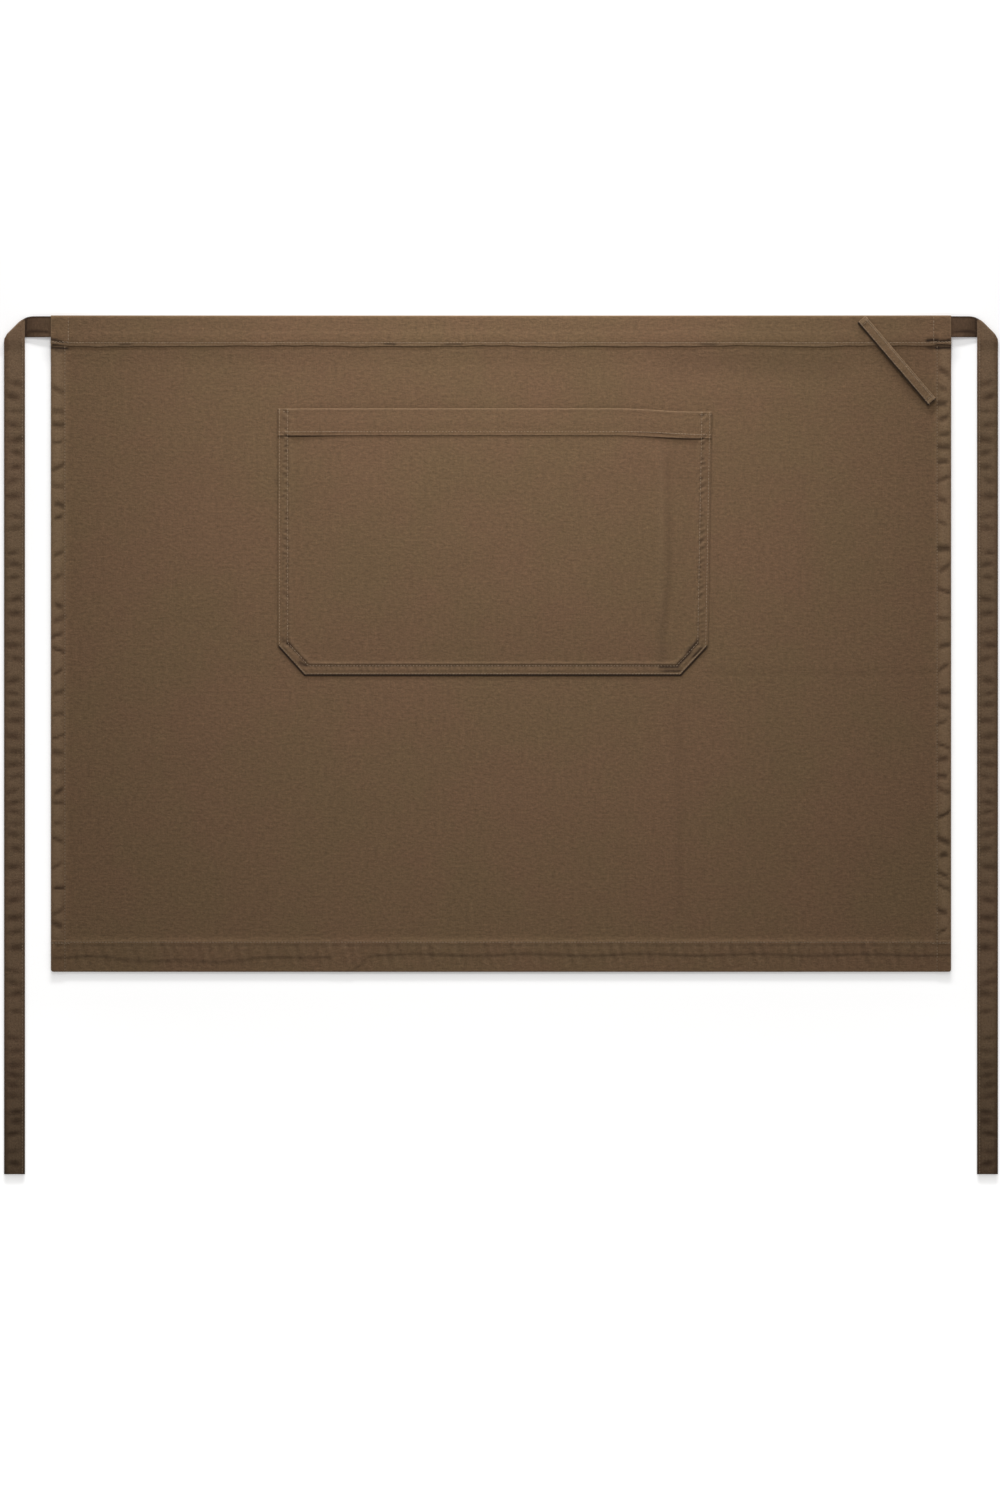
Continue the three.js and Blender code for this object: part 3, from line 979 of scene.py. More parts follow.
# The hem at the mouth stands off a little at both ends of its lower edge, with painted shade under that edge.
mouth = {
    "loose": ((1, columnAt(300), 26), (1, columnAt(682), 30)),
    "standOff": (0.62, 0, 4.0),
    "swell": (0.18, 13, 4),
    "dent": (0.10, rowAt(413.4), 1.2),
    "shadeWaves": (47, 55),
    "shade": (1, -0.55, 0.7),
    "shadeLeast": 0.03,
    "shadeUneven": 0.16,
    "shadeLoose": 0.70,
    "shadeEnds": (0.3, 2),
}
# Wear along the pocket's border, mouth and hem, and painted highlights on its lumps, the crease's lip and the
# wrinkles' ridges.
pocketWearAndHighlights = {
    "edge": (0.16, 1.0),
    "edgePlace": 2.6,
    "edgeHalf": 0.7,
    "mouth": (0.34, 0.6, 1.0),
    "band": (0.22, 0.6, 0.9),
    "lumpsOver": 0.26,
    "lip": (0.10, columnAt(661), 4.0),
    "wrinkles": (0.50, 0.25),
    "lowInner": (0.18, 12.2, 1.8),
    "lowMiddle": (0.16, 7.2, 1.3),
}
# Painted shade in the pocket's lumps, wrinkles, seam rows and crease, and along its lower edge and sides.
pocketShade = {
    "lumps": 1.5,
    "lumpsMost": 0.5,
    "wrinkles": (0.60, 0.25),
    "innerRow": (0.12, 0.46),
    "innerPlace": 0.3,
    "innerHalf": (0.8, 1.7),
    "lowOuter": (0.26, 4.4, 1.0),
    "crease": 0.24,
    "creaseHalf": 0.8,
    "creaseTop": 0.3,
    "lowEdge": 1.3,
    "lowEdgeReach": (1.15, 0.8),
    "sideEdge": 0.22,
    "sideEdgeReach": (0.3, 0.5),
}
pocketGrid = {
    "pitch": 2.4,
    "columns": 150,
    "inside": (0, 0.1, 0.3, 0.6, 1.0, 1.5, 2.0, 2.6, 3.6, 4.8, 6.0, 7.2, 8.2, 9.0, 9.6, 10.2, 11, 11.8, 12.6,
               13.4, 14.6, 16.5),
    "mouth": (0, 0.15, 0.45, 0.95, 1.6, 2.4, 3.4, 4.6),
    "bandEdge": (-1.5, -0.9, -0.5, -0.15, 0.05, 0.2, 0.4, 0.8, 1.5),
    "bandClear": 1.6,
    "mapPlace": (40, 900),
}

# Where seam allowances bunch inside the pocket's border, and slight drags in its cloth:
pocketFolds = (
    (284, 644, 289, 650, 0.55, 2.0),
    (290, 656, 297, 662, 0.50, 2.0),
    (300, 661, 306, 664, -0.45, 1.8),
    (283, 638, 291, 645, -0.40, 1.6),
    (694, 655, 701, 648, -0.55, 1.6),
    (688, 650, 697, 640, -0.50, 1.8),
    (696, 660, 703, 651, 0.55, 2.2),
    (679, 663, 690, 652, -0.40, 1.5),
    (660, 666, 678, 666, -0.40, 1.6),
    (664, 670, 680, 670, -0.40, 1.2),
    (640, 452, 700, 470, 0.25, 8.0),
    (300, 470, 420, 500, 0.22, 14.0),
    (480, 600, 620, 560, 0.22, 16.0),
)


def pocketFlare(y):
    return pocket["flare"] * (y - pocketBottom) / (pocketMouth - pocketBottom)


def pocketSides(y):
    tall = pocket["chamferTall"]
    cut = pocket["chamferWide"] * np.clip((pocketBottom + tall - y) / tall, 0, 1)
    return pocketLeft + cut, pocketRight + pocketFlare(y) - cut


def pocketInside(x, y):
    # how far in from the sewn border, along the sides, the chamfers and the lower edge
    wide, tall = pocket["chamferWide"], pocket["chamferTall"]
    lean = math.hypot(wide, tall)
    fromLeft, fromRight, fromBottom = x - pocketLeft, pocketRight + pocketFlare(y) - x, y - pocketBottom
    leftCut = (fromLeft * tall + fromBottom * wide - wide * tall) / lean
    rightCut = (fromRight * tall + fromBottom * wide - wide * tall) / lean
    return np.minimum.reduce([fromLeft, fromRight, fromBottom, leftCut, rightCut])


def pocketDrawn(y, share):
    # how far down the cloth is drawn from its even cut: its mouth at the right, its sewn edge below
    tall = pocketMouth - pocketBottom
    dip = pocket["dip"] * smooth(share, pocket["dipStart"], 1 - pocket["dipStart"])
    return dip * (y - pocketBottom) / tall + pocket["sag"] * (pocketMouth - y) / tall


def pocketLevels(x, y, share):
    ply = cloth["ply"]
    inside = pocketInside(x, y)
    lying, _, _, _ = panelLevels(x, y)
    back = np.maximum(lying, ply) + cloth["clear"]
    inField = smooth(inside, pocket["innerRow"], pocket["risesOver"])
    above = y - (pocketMouth - pocket["bandHeight"])
    inBand = smooth(above, *pocket["bandEdge"])

    # the pocket's slack, and the crease in it
    sideways = np.abs(2 * share - 1)
    downwards = np.clip((pocketMouth - y) / (pocketMouth - pocketBottom - pocket["innerRow"]), 0, 1)
    billow = (1 - sideways ** pocket["gapeSides"]) * (1 - downwards ** pocket["gapeFoot"])
    rise = pocket["gape"] * billow + pocket["slack"] * softWaves(x, y, *pocket["slackWaves"])
    rise = rise * inField
    creaseAt = crease["at"] - crease["leans"] * (1 - smooth(y, *crease["leanReach"]))
    spread = between(*crease["spread"], downwards)
    fall = crease["drop"] * hump(x - creaseAt, spread) + crease["step"] * smooth(x, *crease["stepReach"])
    fall = fall * (1 - smooth(x - crease["at"], *crease["fades"]))
    creased = (1 - smooth(y, *crease["upperEnd"])) * inField
    back = back + np.maximum(rise + (softLine(x, crease["lip"]) - fall) * creased, 0)

    turned = 1 - smooth(inside, *pocket["allowance"])
    plies = 1 + turned + pocket["bandPlies"] * inBand * (1 - pocket["bandSoftens"] * turned)
    front = back + ply * plies - pocket["pressed"] * (1 - smooth(inside, *pocket["pressedReach"]))

    # grooves along the two rows of the border and the row of the mouth's hem
    onSides = 1 - pocket["bandSoftens"] * inBand
    low = pocketInside(x, y + border["probe"]) - inside > border["slope"] * border["probe"]
    low = low * (1 - inBand)
    fromOuter, fromInner = inside - pocket["outerRow"], inside - pocket["innerRow"]
    outerGroove = between(*border["outerGroove"], low) * hump(fromOuter, border["outerHalf"])
    innerGroove = between(*border["innerGroove"], low) * hump(fromInner, border["innerHalf"])
    front = front - (outerGroove + innerGroove) * onSides
    bandGroove = softLine(y - (pocketMouth - pocket["bandRow"]), border["bandGroove"])
    front = front - bandGroove * smooth(inside, *border["bandGrooveEnds"])

    # small wrinkles between the two rows, and puckers inside them
    along = np.where(inside == y - pocketBottom, x, y)
    rows = softLine(inside, border["wrinkles"]) * smooth(inside, pocket["outerRow"], border["wrinklesFrom"])
    wrinkle = rippled(along, border["wrinkleBeat"], inside / border["wrinkleLean"])
    wrinkle = wrinkle * between(*border["wrinkleSwell"], softWaves(x, y, *border["wrinkleWaves"]))
    front = front + between(*border["wrinkleHeight"], low) * rows * wrinkle * onSides
    puckers = softLine(fromInner, border["innerPuckers"]) * rippled(along, border["innerBeat"])
    front = front + puckers * onSides
    lumps = foldsOver(x, y, pocketFolds) * smooth(inside, *pocket["foldsFrom"])
    front = front + lumps

    loose = sum(softLine(x, place) for place in mouth["loose"])
    hemmed = loose * softLine(above, mouth["standOff"]) + softLine(above, mouth["swell"])
    front = front + inBand * (hemmed - softLine(y, mouth["dent"]))
    nose = roundOff(np.minimum(inside, pocketMouth - y), pocket["noseRadius"])
    front, back = meetAtEdge(front, back, (front + back) / 2, nose)

    # worn edges with painted highlights on the raised parts, then painted shade in the hollows, along the
    # lower edge and under the hem
    wearAndHighlights, shade = pocketWearAndHighlights, pocketShade
    worn = between(*wearAndHighlights["edge"], low) * hump(inside - wearAndHighlights["edgePlace"] * low, wearAndHighlights["edgeHalf"])
    worn = worn + softLine(pocketMouth - y, wearAndHighlights["mouth"]) + inBand * softLine(above, wearAndHighlights["band"])
    worn = worn + np.clip(lumps - wearAndHighlights["lumpsOver"], 0, 1) + softLine(x, wearAndHighlights["lip"]) * creased
    worn = worn + between(*wearAndHighlights["wrinkles"], low) * rows * np.clip(wrinkle, 0, 1)
    worn = worn + low * (softLine(inside, wearAndHighlights["lowInner"]) + softLine(inside, wearAndHighlights["lowMiddle"]))
    deep = shade["lumps"] * np.clip(-lumps, 0, shade["lumpsMost"])
    deep = deep + between(*shade["wrinkles"], low) * rows * np.clip(-wrinkle, 0, 1)
    innerLine = hump(fromInner - shade["innerPlace"] * low, between(*shade["innerHalf"], low))
    deep = deep + between(*shade["innerRow"], low) * innerLine * onSides
    deep = deep + low * softLine(inside, shade["lowOuter"])
    inCrease = creased * between(shade["creaseTop"], 1, downwards)
    deep = deep + shade["crease"] * hump(x - creaseAt, spread * shade["creaseHalf"]) * inCrease
    deep = deep + shade["lowEdge"] * low * (1 - smooth(inside, *shade["lowEdgeReach"]))
    deep = deep + shade["sideEdge"] * (1 - low) * (1 - smooth(inside, *shade["sideEdgeReach"]))
    uneven = mouth["shadeUneven"] * softWaves(x, 0 * y, *mouth["shadeWaves"]) + mouth["shadeLoose"] * loose
    underHem = (mouth["shadeLeast"] + uneven) * (1 - inBand) * softLine(above, mouth["shade"])
    deep = deep + underHem * smooth(inside, *mouth["shadeEnds"])
    return front, back, np.clip(worn, 0, 1), np.clip(deep, 0, 1)


def makePocket():
    grid = pocketGrid
    rows = stations(grid["inside"], pocketBottom, pocketMouth, grid["pitch"], grid["mouth"])
    edge = pocketMouth - pocket["bandHeight"]
    rows = [y for y in rows if abs(y - edge) > grid["bandClear"]]
    rows = np.sort(rows + [edge + offset for offset in grid["bandEdge"]])
    count, last = grid["columns"], grid["inside"][-1]
    columns = [(0.0, offset) for offset in grid["inside"]]
    columns += [(k / count, last * (1 - 2 * k / count)) for k in range(1, count)]
    columns += [(1.0, -offset) for offset in reversed(grid["inside"])]
    shares, insets = np.array(columns).T
    share, y = np.meshgrid(shares, rows)
    left, right = pocketSides(y)
    x = between(left, right, share) + insets
    front, back, worn, deep = pocketLevels(x, y, share)
    lowered = y - pocketDrawn(y, share)
    face = np.stack([x, lowered, front], axis=2)
    under = np.stack([x, lowered, back], axis=2)
    uv = np.stack([x, y], axis=2) + grid["mapPlace"]
    return clothWall("pocket_cloth", face, under, uv, {"worn": worn, "deep": deep}, canvas)


pocketCloth = makePocket()


# The towel loop: a narrow folded strip from the waistband's top slantwise down to the side hem.
loop = {
    "width": 10.3,
    "thick": 1.9,
    "length": 104.2,
    "past": 0.9,
    "slope": math.radians(49.5),
    "bow": 2.9,
    "leaves": (0.06, 0.24),
    "descends": (0.72, 0.23),
    "upperSeat": 0.45,
    "lowerSeat": 2.35,
    "overBand": (-0.4, 0.8),
    "insidePanel": 12,
    "topDrop": 1.2,
    "topRound": 2.0,
    "flatness": 0.75,
    "edgeRow": 1.7,
    "endRow": 5.2,
    "edgeGroove": (0.2, 0, 0.7),
    "endGroove": (0.3, 0, 0.8),
    "endPly": 0.45,
    "endPlyReach": (0.6, 1.4),
    "ripple": 0.08,
    "rippleLength": 1.9,
    "rippleLean": 2,
    "noseRadius": 0.95,
}
# Wear along the loop's edges, ends and seam rows, with a painted highlight on the edge of its upper side.
loopWearAndHighlights = {
    "edge": (0.45, 0.3, 0.9),
    "edgeFrom": 1,
    "all": 0.16,
    "ends": (0.62, 2.6, 1.7),
    "edgeRow": (0.52, 0.1, 0.6),
}
# Painted shade along the loop's end rows, down its lower side and under its lower end.
loopShade = {
    "endRow": (0.40, 0, 0.7),
    "lowerSide": 1.6,
    "lowerSideReach": (-1.9, 1.1),
    "lowerEnd": 1.3,
    "lowerEndReach": (0.5, 0.8),
}
loopGrid = {
    "acrossPitch": 1.1,
    "alongPitch": 1.2,
    "sides": (0, 0.1, 0.35, 0.8, 1.25, 1.7, 2.2, 3.0),
    "ends": (0, 0.15, 0.5, 1.0, 1.8, 3.0, 4.4, 5.2, 6.0, 7.2),
    "mapPlace": 700,
}


def loopPoint(share, b):
    # a place on the loop's middle plane in plan, from its upper end down, b towards its lower left side
    runX, runY = math.cos(loop["slope"]), -math.sin(loop["slope"])
    asideX, asideY = runY, -runX
    half = loop["width"] / 2
    startX = loopHigh[0] + loop["past"] - loop["length"] * runX - half * abs(asideX)
    startY = topEdge + half * asideY
    along = share * loop["length"]
    return startX + runX * along + asideX * b, startY + runY * along + asideY * b


def loopUnder(share, b):
    x, y = loopPoint(share, b)
    front, _, _, _ = panelLevels(x, np.minimum(y, panelTop - loop["insidePanel"]))
    onBand = smooth(y - bandLower, *loop["overBand"])
    ground = between(front, np.maximum(bandFront(x, y), front), onBand)
    ground = ground - onBand * loop["topDrop"] * roundOff(topEdge - y, loop["topRound"])
    upper = band["seamLevel"] + loop["upperSeat"] + cloth["clear"]
    free = between(upper, loop["bow"] + cloth["ply"], smooth(share, *loop["leaves"]))
    free = between(free, loop["lowerSeat"] + cloth["clear"], smooth(share, *loop["descends"]))
    return np.maximum(free, ground + cloth["clear"])


def loopLevels(share, b):
    half = loop["width"] / 2
    inside = half - np.abs(b)
    fromEnd = np.minimum(share, 1 - share) * loop["length"]
    pastRow, fromRow = fromEnd - loop["endRow"], inside - loop["edgeRow"]
    back = between(loopUnder(share, b), loopUnder(share, 0 * b), loop["flatness"])
    front = back + loop["thick"] + loop["endPly"] * (1 - smooth(pastRow, *loop["endPlyReach"]))
    front = front - softLine(fromRow, loop["edgeGroove"]) - softLine(pastRow, loop["endGroove"])
    ripple = np.sin(share * loop["length"] / loop["rippleLength"] + b / loop["rippleLean"])
    front = front + loop["ripple"] * ripple
    nose = roundOff(np.minimum(inside, fromEnd), loop["noseRadius"])
    front, back = meetAtEdge(front, back, (front + back) / 2, nose)
    # a painted highlight on the upper side's edge; painted shade down the lower side and under the lower end
    upperSide = 1 - smooth(b, loopWearAndHighlights["edgeFrom"], half)
    worn = loopWearAndHighlights["all"] + softLine(inside, loopWearAndHighlights["edge"]) * upperSide
    worn = worn + softLine(fromEnd, loopWearAndHighlights["ends"]) + softLine(fromRow, loopWearAndHighlights["edgeRow"])
    deep = softLine(pastRow, loopShade["endRow"])
    deep = deep + loopShade["lowerSide"] * smooth(b - half, *loopShade["lowerSideReach"])
    underEnd = (share > 0.5) * (1 - smooth(fromEnd, *loopShade["lowerEndReach"]))
    return front, back, worn, np.clip(deep + loopShade["lowerEnd"] * underEnd, 0, 1)


def makeLoop():
    half = loop["width"] / 2
    bs = stations(loopGrid["sides"], -half, half, loopGrid["acrossPitch"], loopGrid["sides"])
    alongs = stations(loopGrid["ends"], 0, loop["length"], loopGrid["alongPitch"], loopGrid["ends"])
    b, along = np.meshgrid(bs, alongs)
    share = along / loop["length"]
    front, back, worn, deep = loopLevels(share, b)
    x, y = loopPoint(share, b)
    face, under = np.stack([x, y, front], axis=2), np.stack([x, y, back], axis=2)
    uv = np.stack([b + loopGrid["mapPlace"], along], axis=2)
    return clothWall("towel_loop_cloth", face, under, uv, {"worn": worn, "deep": deep}, canvas)


loopCloth = makeLoop()


# The ties: folded straps that leave the waistband's ends, roll over on a slant and fall beside it.
tie = {
    "width": 20.0,
    "thick": 2.0,
    "clear": 0.3,
    "insert": 17.0,
    "settle": 15.0,
    "edgeRow": 2.6,
    "edgeGroove": (0.16, 2.6, 0.8),
    "slotSeat": 1.3,
    "slotEnds": 6,
    "topRound": 6.5,
    "sideRound": 4.0,
    "roundDepth": 12,
    "roundMain": 0.92,
    "roundAside": 0.38,
    "overTop": 0.8,
    "inwards": 0.4,
    "dimple": 1.05,
    "backShare": 0.35,
    "thinEdge": 0.22,
    "thinEdgeReach": (0.8, 3.0),
    "puffed": 0.10,
    "puffWaves": (61, 40),
    "puffNarrow": 6,
}
# How the faces of a tie are rubbed along its outer edge, with painted highlights on the ridges between its
# dimples, and the painted shade on it.
tieWearAndHighlights = {
    "edge": (1, 1.4, 1.2),
    "lowerFall": 0.22,
    "upperFall": 0.34,
    "ridges": 0.46,
    "valleys": 1.5,
    "ridgesReach": (1.5, 4),
    "fallReach": (-22, 20),
}
tieShade = {
    "valleys": 0.62,
    "lowerFallEdge": 0.26,
    "edgeReach": (0.5, 2.0),
    "endTurn": 0.35,
    "endReach": (1, 9),
    "stub": 0.40,
    "stubReach": (-8, 5),
    "tuck": (0.9, 0, 1.2),
    "tuckPlace": 4.4,
    "tuckBend": 0.012,
    "tuckMiddle": 444,
    "topEdge": 0.7,
    "topEdgeReach": (0.8, 1.6),
    "nearFall": 0.25,
    "nearReach": (-12, 11),
    "underFall": 0.9,
    "underReach": (-2.2, 1.2),
    "strip": (0.75, 2.2, 2.0),
    "stripReach": (-24, 8),
    "most": 0.95,
}
tieGrid = {
    "pitch": 1.7,
    "sides": (0, 0.1, 0.3, 0.6, 1.0, 1.7, 2.6, 3.5),
    "insertRows": 7,
    "stubRows": 44,
    "rollRows": 26,
    "slantRows": 22,
    "fallRows": 340,
    "end": (1.0, 0.6, 0.3, 0.1, 0.0),
    "mapPlace": 300,
}
rollRadius = (tie["thick"] + tie["clear"]) / 2
rollShift = math.pi * rollRadius / math.sqrt(2)
fallMiddle = tieHigh[0] - tie["width"] / 2 - tie["inwards"]
foldAt = fallMiddle - rollShift
tieMiddle = tieHigh[1] + tie["overTop"] - tie["width"] / 2
flatEnd = foldAt + tieMiddle + rollShift - tieLow[1]
stubEnd = halfWidth + tie["clear"]
fallStart = foldAt + math.pi * rollRadius * math.sqrt(2)
squareAgain = fallStart + 2 * tie["width"]


def cornerPush(first, second, reach):
    # how far in a point moves where two outer edges, at these distances from it, meet in a round
    near = np.maximum(reach - np.abs(first - second), 0) / reach
    deeper = np.clip(1 - np.minimum(first, second) / tie["roundDepth"], 0, 1)
    return near * near * deeper * reach / 4


def strapPoint(x, b, h):
    # the flat strap folded over: x and b are a place on it, h its height in the ply
    half, middle = tie["width"] / 2, tie["thick"] / 2
    beyond = (x - foldAt + b) / math.sqrt(2)
    onStub = tie["slotSeat"] * (1 - smooth(x, stubEnd, foldAt - stubEnd - tie["slotEnds"]))
    turn = np.clip(beyond / rollRadius, 0, math.pi)
    reach = rollRadius + middle - h
    past = beyond - turn * rollRadius
    along = np.where(beyond > 0, (reach * np.sin(turn) - past - beyond) / math.sqrt(2), 0)
    across, y = x + along, tieMiddle + b + along
    settled = smooth(tieMiddle - half - y, tie["clear"], tie["settle"])
    turned = middle + rollRadius - reach * np.cos(turn) - settled * 2 * rollRadius
    fromTop, fromSide = tieMiddle + half - y, fallMiddle + half - across
    fromFold = (foldAt + tieMiddle - across - y) / math.sqrt(2) + rollRadius + middle
    topPush = cornerPush(fromTop, fromFold, tie["topRound"])
    sidePush = cornerPush(fromSide, fromFold, tie["sideRound"])
    across = across - tie["roundAside"] * topPush - tie["roundMain"] * sidePush
    y = y - tie["roundMain"] * topPush - tie["roundAside"] * sidePush
    return across, y, np.where(beyond > 0, turned, h + onStub)


# Rows of the photo where the strap's seam draws it in.
dimpleRows = (384, 398, 412, 426, 441, 453, 468, 481, 497, 517, 529, 553, 565, 578, 600, 614, 632, 646, 659,
              681, 694, 705, 721, 737, 752, 765, 777, 791, 803, 812, 824, 835, 849, 867, 883, 900, 918, 932,
              948, 971, 983, 994, 1011, 1038, 1051, 1065, 1075, 1085, 1096, 1112, 1121, 1133, 1151, 1163)
dimpleSeed = 9
# What differs from dimple to dimple, drawn in this order.
dimpleDraws = {
    "slant": (-0.26, 0.26),
    "strength": (0.5, 1),
    "halfwidth": (1.9, 3.3),
    "centre": (-2.5, 2.5),
    "tall": (5.5, 8.5),
}


def strapRelief(x, b):
    # how far the strap's face stands in from its full thickness, and how deep its dimples are there
    draw = np.random.default_rng(dimpleSeed)
    half = tie["width"] / 2
    shade = 0
    for row in dimpleRows:
        at = flatEnd - rowAt(row) + tieLow[1]
        slant, strength, halfwidth, centre, tall = (draw.uniform(*limits) for limits in dimpleDraws.values())
        shade = shade + strength * hump(x - at - slant * b, halfwidth) * hump(b - centre, tall)
    return softLine(half - b, tie["edgeGroove"]) + tie["dimple"] * shade, np.clip(shade, 0, 1)


def makeTie(name, side):
    grid, half, middle = tieGrid, tie["width"] / 2, tie["thick"] / 2
    marks = [(halfWidth - tie["insert"], 0), (stubEnd, grid["insertRows"]), (foldAt, grid["stubRows"]),
             (fallStart, grid["rollRows"]), (squareAgain, grid["slantRows"]),
             (flatEnd - grid["end"][0], grid["fallRows"])]
    rows = [marks[0][0]]
    for (start, _), (end, count) in zip(marks, marks[1:]):
        rows += list(np.linspace(start, end, count))[1:]
    rows += [flatEnd - offset for offset in grid["end"][1:]]
    b, x = np.meshgrid(stations(grid["sides"], -half, half, grid["pitch"], grid["sides"]), rows)
    slant = smooth(x, stubEnd, foldAt - stubEnd) - smooth(x, fallStart, squareAgain - fallStart)
    x = x - b * slant
    inside = half - np.abs(b)
    edges = tie["thinEdge"] * (1 - smooth(inside, *tie["thinEdgeReach"]))
    edges = edges + tie["puffed"] * softWaves(x, b * tie["puffNarrow"], *tie["puffWaves"])
    relief, shade = strapRelief(x, b)
    nose = roundOff(np.minimum(inside, np.maximum(flatEnd - x, 0)), middle)
    hidden, seen = tie["thick"] - relief * tie["backShare"] - edges, relief + edges
    top, under = meetAtEdge(hidden, seen, middle, nose)

    walls = []
    for height in (top, under):
        across, y, z = strapPoint(x, b, height)
        walls.append(np.stack([side * across, y, np.maximum(z, 0)], axis=2))
    uv = np.stack([side * b, x + grid["mapPlace"]], axis=2)

    # the face that shows: painted shade in its dimples and where its stub lies in the shade of the fall,
    # painted highlights on the ridges between the dimples
    innerEdge = fallMiddle - half
    stub = 1 - smooth(x - foldAt, *tieShade["stubReach"])
    upperFall = 1 - smooth(x - squareAgain, *tieWearAndHighlights["fallReach"])
    ridges = tieWearAndHighlights["ridges"] * np.clip(1 - tieWearAndHighlights["valleys"] * shade, 0, 1)
    worn = (tieWearAndHighlights["lowerFall"] + tieWearAndHighlights["upperFall"] * upperFall) * softLine(half - b, tieWearAndHighlights["edge"])
    worn = (worn + ridges * smooth(inside, *tieWearAndHighlights["ridgesReach"])) * (1 - stub)
    tuckAt = b + tieShade["tuckPlace"] + tieShade["tuckBend"] * (x - tieShade["tuckMiddle"]) ** 2
    beside = tieShade["stub"] + softLine(tuckAt, tieShade["tuck"])
    beside = beside + tieShade["topEdge"] * (1 - smooth(half - b, *tieShade["topEdgeReach"]))
    beside = beside + tieShade["nearFall"] * smooth(x - innerEdge, *tieShade["nearReach"])
    beside = beside + tieShade["underFall"] * smooth(x - innerEdge, *tieShade["underReach"])
    atEdge = 1 - smooth(inside, *tieShade["edgeReach"])
    deep = tieShade["valleys"] * shade + tieShade["lowerFallEdge"] * atEdge * (1 - upperFall)
    deep = deep + stub * beside + tieShade["endTurn"] * (1 - smooth(flatEnd - x, *tieShade["endReach"]))
    strip = stub * softLine(b + half, tieShade["strip"]) * (1 - smooth(x - foldAt, *tieShade["stripReach"]))
    deep = np.clip(deep, 0, tieShade["most"]) * (1 - strip)
    marks = {"worn": np.clip(worn, 0, 1), "deep": deep}
    return clothWall(name, walls[0], walls[1], uv, marks, strapCanvas)


tieCloths = {"tie_left": makeTie("tie_left_cloth", -1), "tie_right": makeTie("tie_right_cloth", 1)}


# Stitches. Each row is a line of points on the cloth; a node tree sets one stitch at each pitch.
stitching = {
    "pitch": 3.0,
    "long": 2.3,
    "radius": 0.27,
    "rise": 0.34,
    "sink": 0.9,
    "crown": 1.7,
    "sides": 6,
    "steps": 4,
    "seed": 7,
    "least": (0.92, 0.85, 0.85),
    "most": (1.04, 1.15, 1.2),
    "samples": 1.5,
}
# How far each seam's thread lies over its cloth.
threadLift = {"sideHem": -0.06, "lowerHem": 0.03, "band": 0.14, "pocket": 0.02, "loop": 0.16, "tie": 0.12}
panelRows = {"below": 1, "end": 1.5, "back": 17, "backDrop": 1.1}
bandRows = {"end": 1, "tackColumns": (69, 933), "tackTop": 2.5, "backFrom": 2, "backTo": 15, "backRise": 0.9}
pocketRows = {"top": 1.5, "bandEnd": 2, "backFrom": 2, "backTo": 10, "backDrop": 3}
loopRows = {"end": 0.012, "inwards": 0.3}
tieRows = {"hidden": 30, "end": 2}


def stitchTree():
    # one stitch is a short arched thread with closed ends, turned along its row
    tree = bpy.data.node_groups.new("stitchRow", "GeometryNodeTree")
    sizes = ("Pitch", "Length", "Radius", "Rise")
    tree.interface.new_socket("Geometry", in_out="INPUT", socket_type="NodeSocketGeometry")
    for name in sizes:
        tree.interface.new_socket(name, in_out="INPUT", socket_type="NodeSocketFloat")
    tree.interface.new_socket("Seed", in_out="INPUT", socket_type="NodeSocketInt")
    tree.interface.new_socket("Geometry", in_out="OUTPUT", socket_type="NodeSocketGeometry")
    make = NodeMaker(tree).add
    lines, seed = (make("NodeGroupInput", None, None, name) for name in ("Geometry", "Seed"))
    pitch, length, radius, rise = (make("NodeGroupInput", None, None, name) for name in sizes)

    curve = make("GeometryNodeMeshToCurve", None, {"Mesh": lines})
    even = make("GeometryNodeResampleCurve", {"mode": "LENGTH"}, {"Curve": curve, "Length": pitch})
    depth = rise * -stitching["sink"]
    arch = make("GeometryNodeCurveQuadraticBezier", None, {
        "Resolution": stitching["steps"],
        "Start": make("ShaderNodeCombineXYZ", None, {"X": length * -0.5, "Z": depth}),
        "Middle": make("ShaderNodeCombineXYZ", None, {"Z": rise * stitching["crown"]}),
        "End": make("ShaderNodeCombineXYZ", None, {"X": length * 0.5, "Z": depth}),
    })
    around = {"Resolution": stitching["sides"], "Radius": radius}
    ring = make("GeometryNodeCurvePrimitiveCircle", None, around)
    tube = make("GeometryNodeCurveToMesh", None, {"Curve": arch, "Profile Curve": ring, "Fill Caps": True})
    tangent = make("GeometryNodeInputTangent")
    turn = make("FunctionNodeAlignEulerToVector", {"axis": "X", "pivot_axis": "AUTO"}, {"Vector": tangent})
    limits = {"Min": stitching["least"], "Max": stitching["most"], "Seed": seed}
    drift = make("FunctionNodeRandomValue", {"data_type": "FLOAT_VECTOR"}, limits)
    placed = {"Points": even, "Instance": tube, "Rotation": turn, "Scale": drift}
    stitches = make("GeometryNodeInstanceOnPoints", None, placed)
    real = make("GeometryNodeRealizeInstances", None, {"Geometry": stitches})
    sewn = make("GeometryNodeSetMaterial", None, {"Geometry": real, "Material": thread})
    make("NodeGroupOutput", None, {"Geometry": sewn})
    return tree


rowTree = stitchTree()


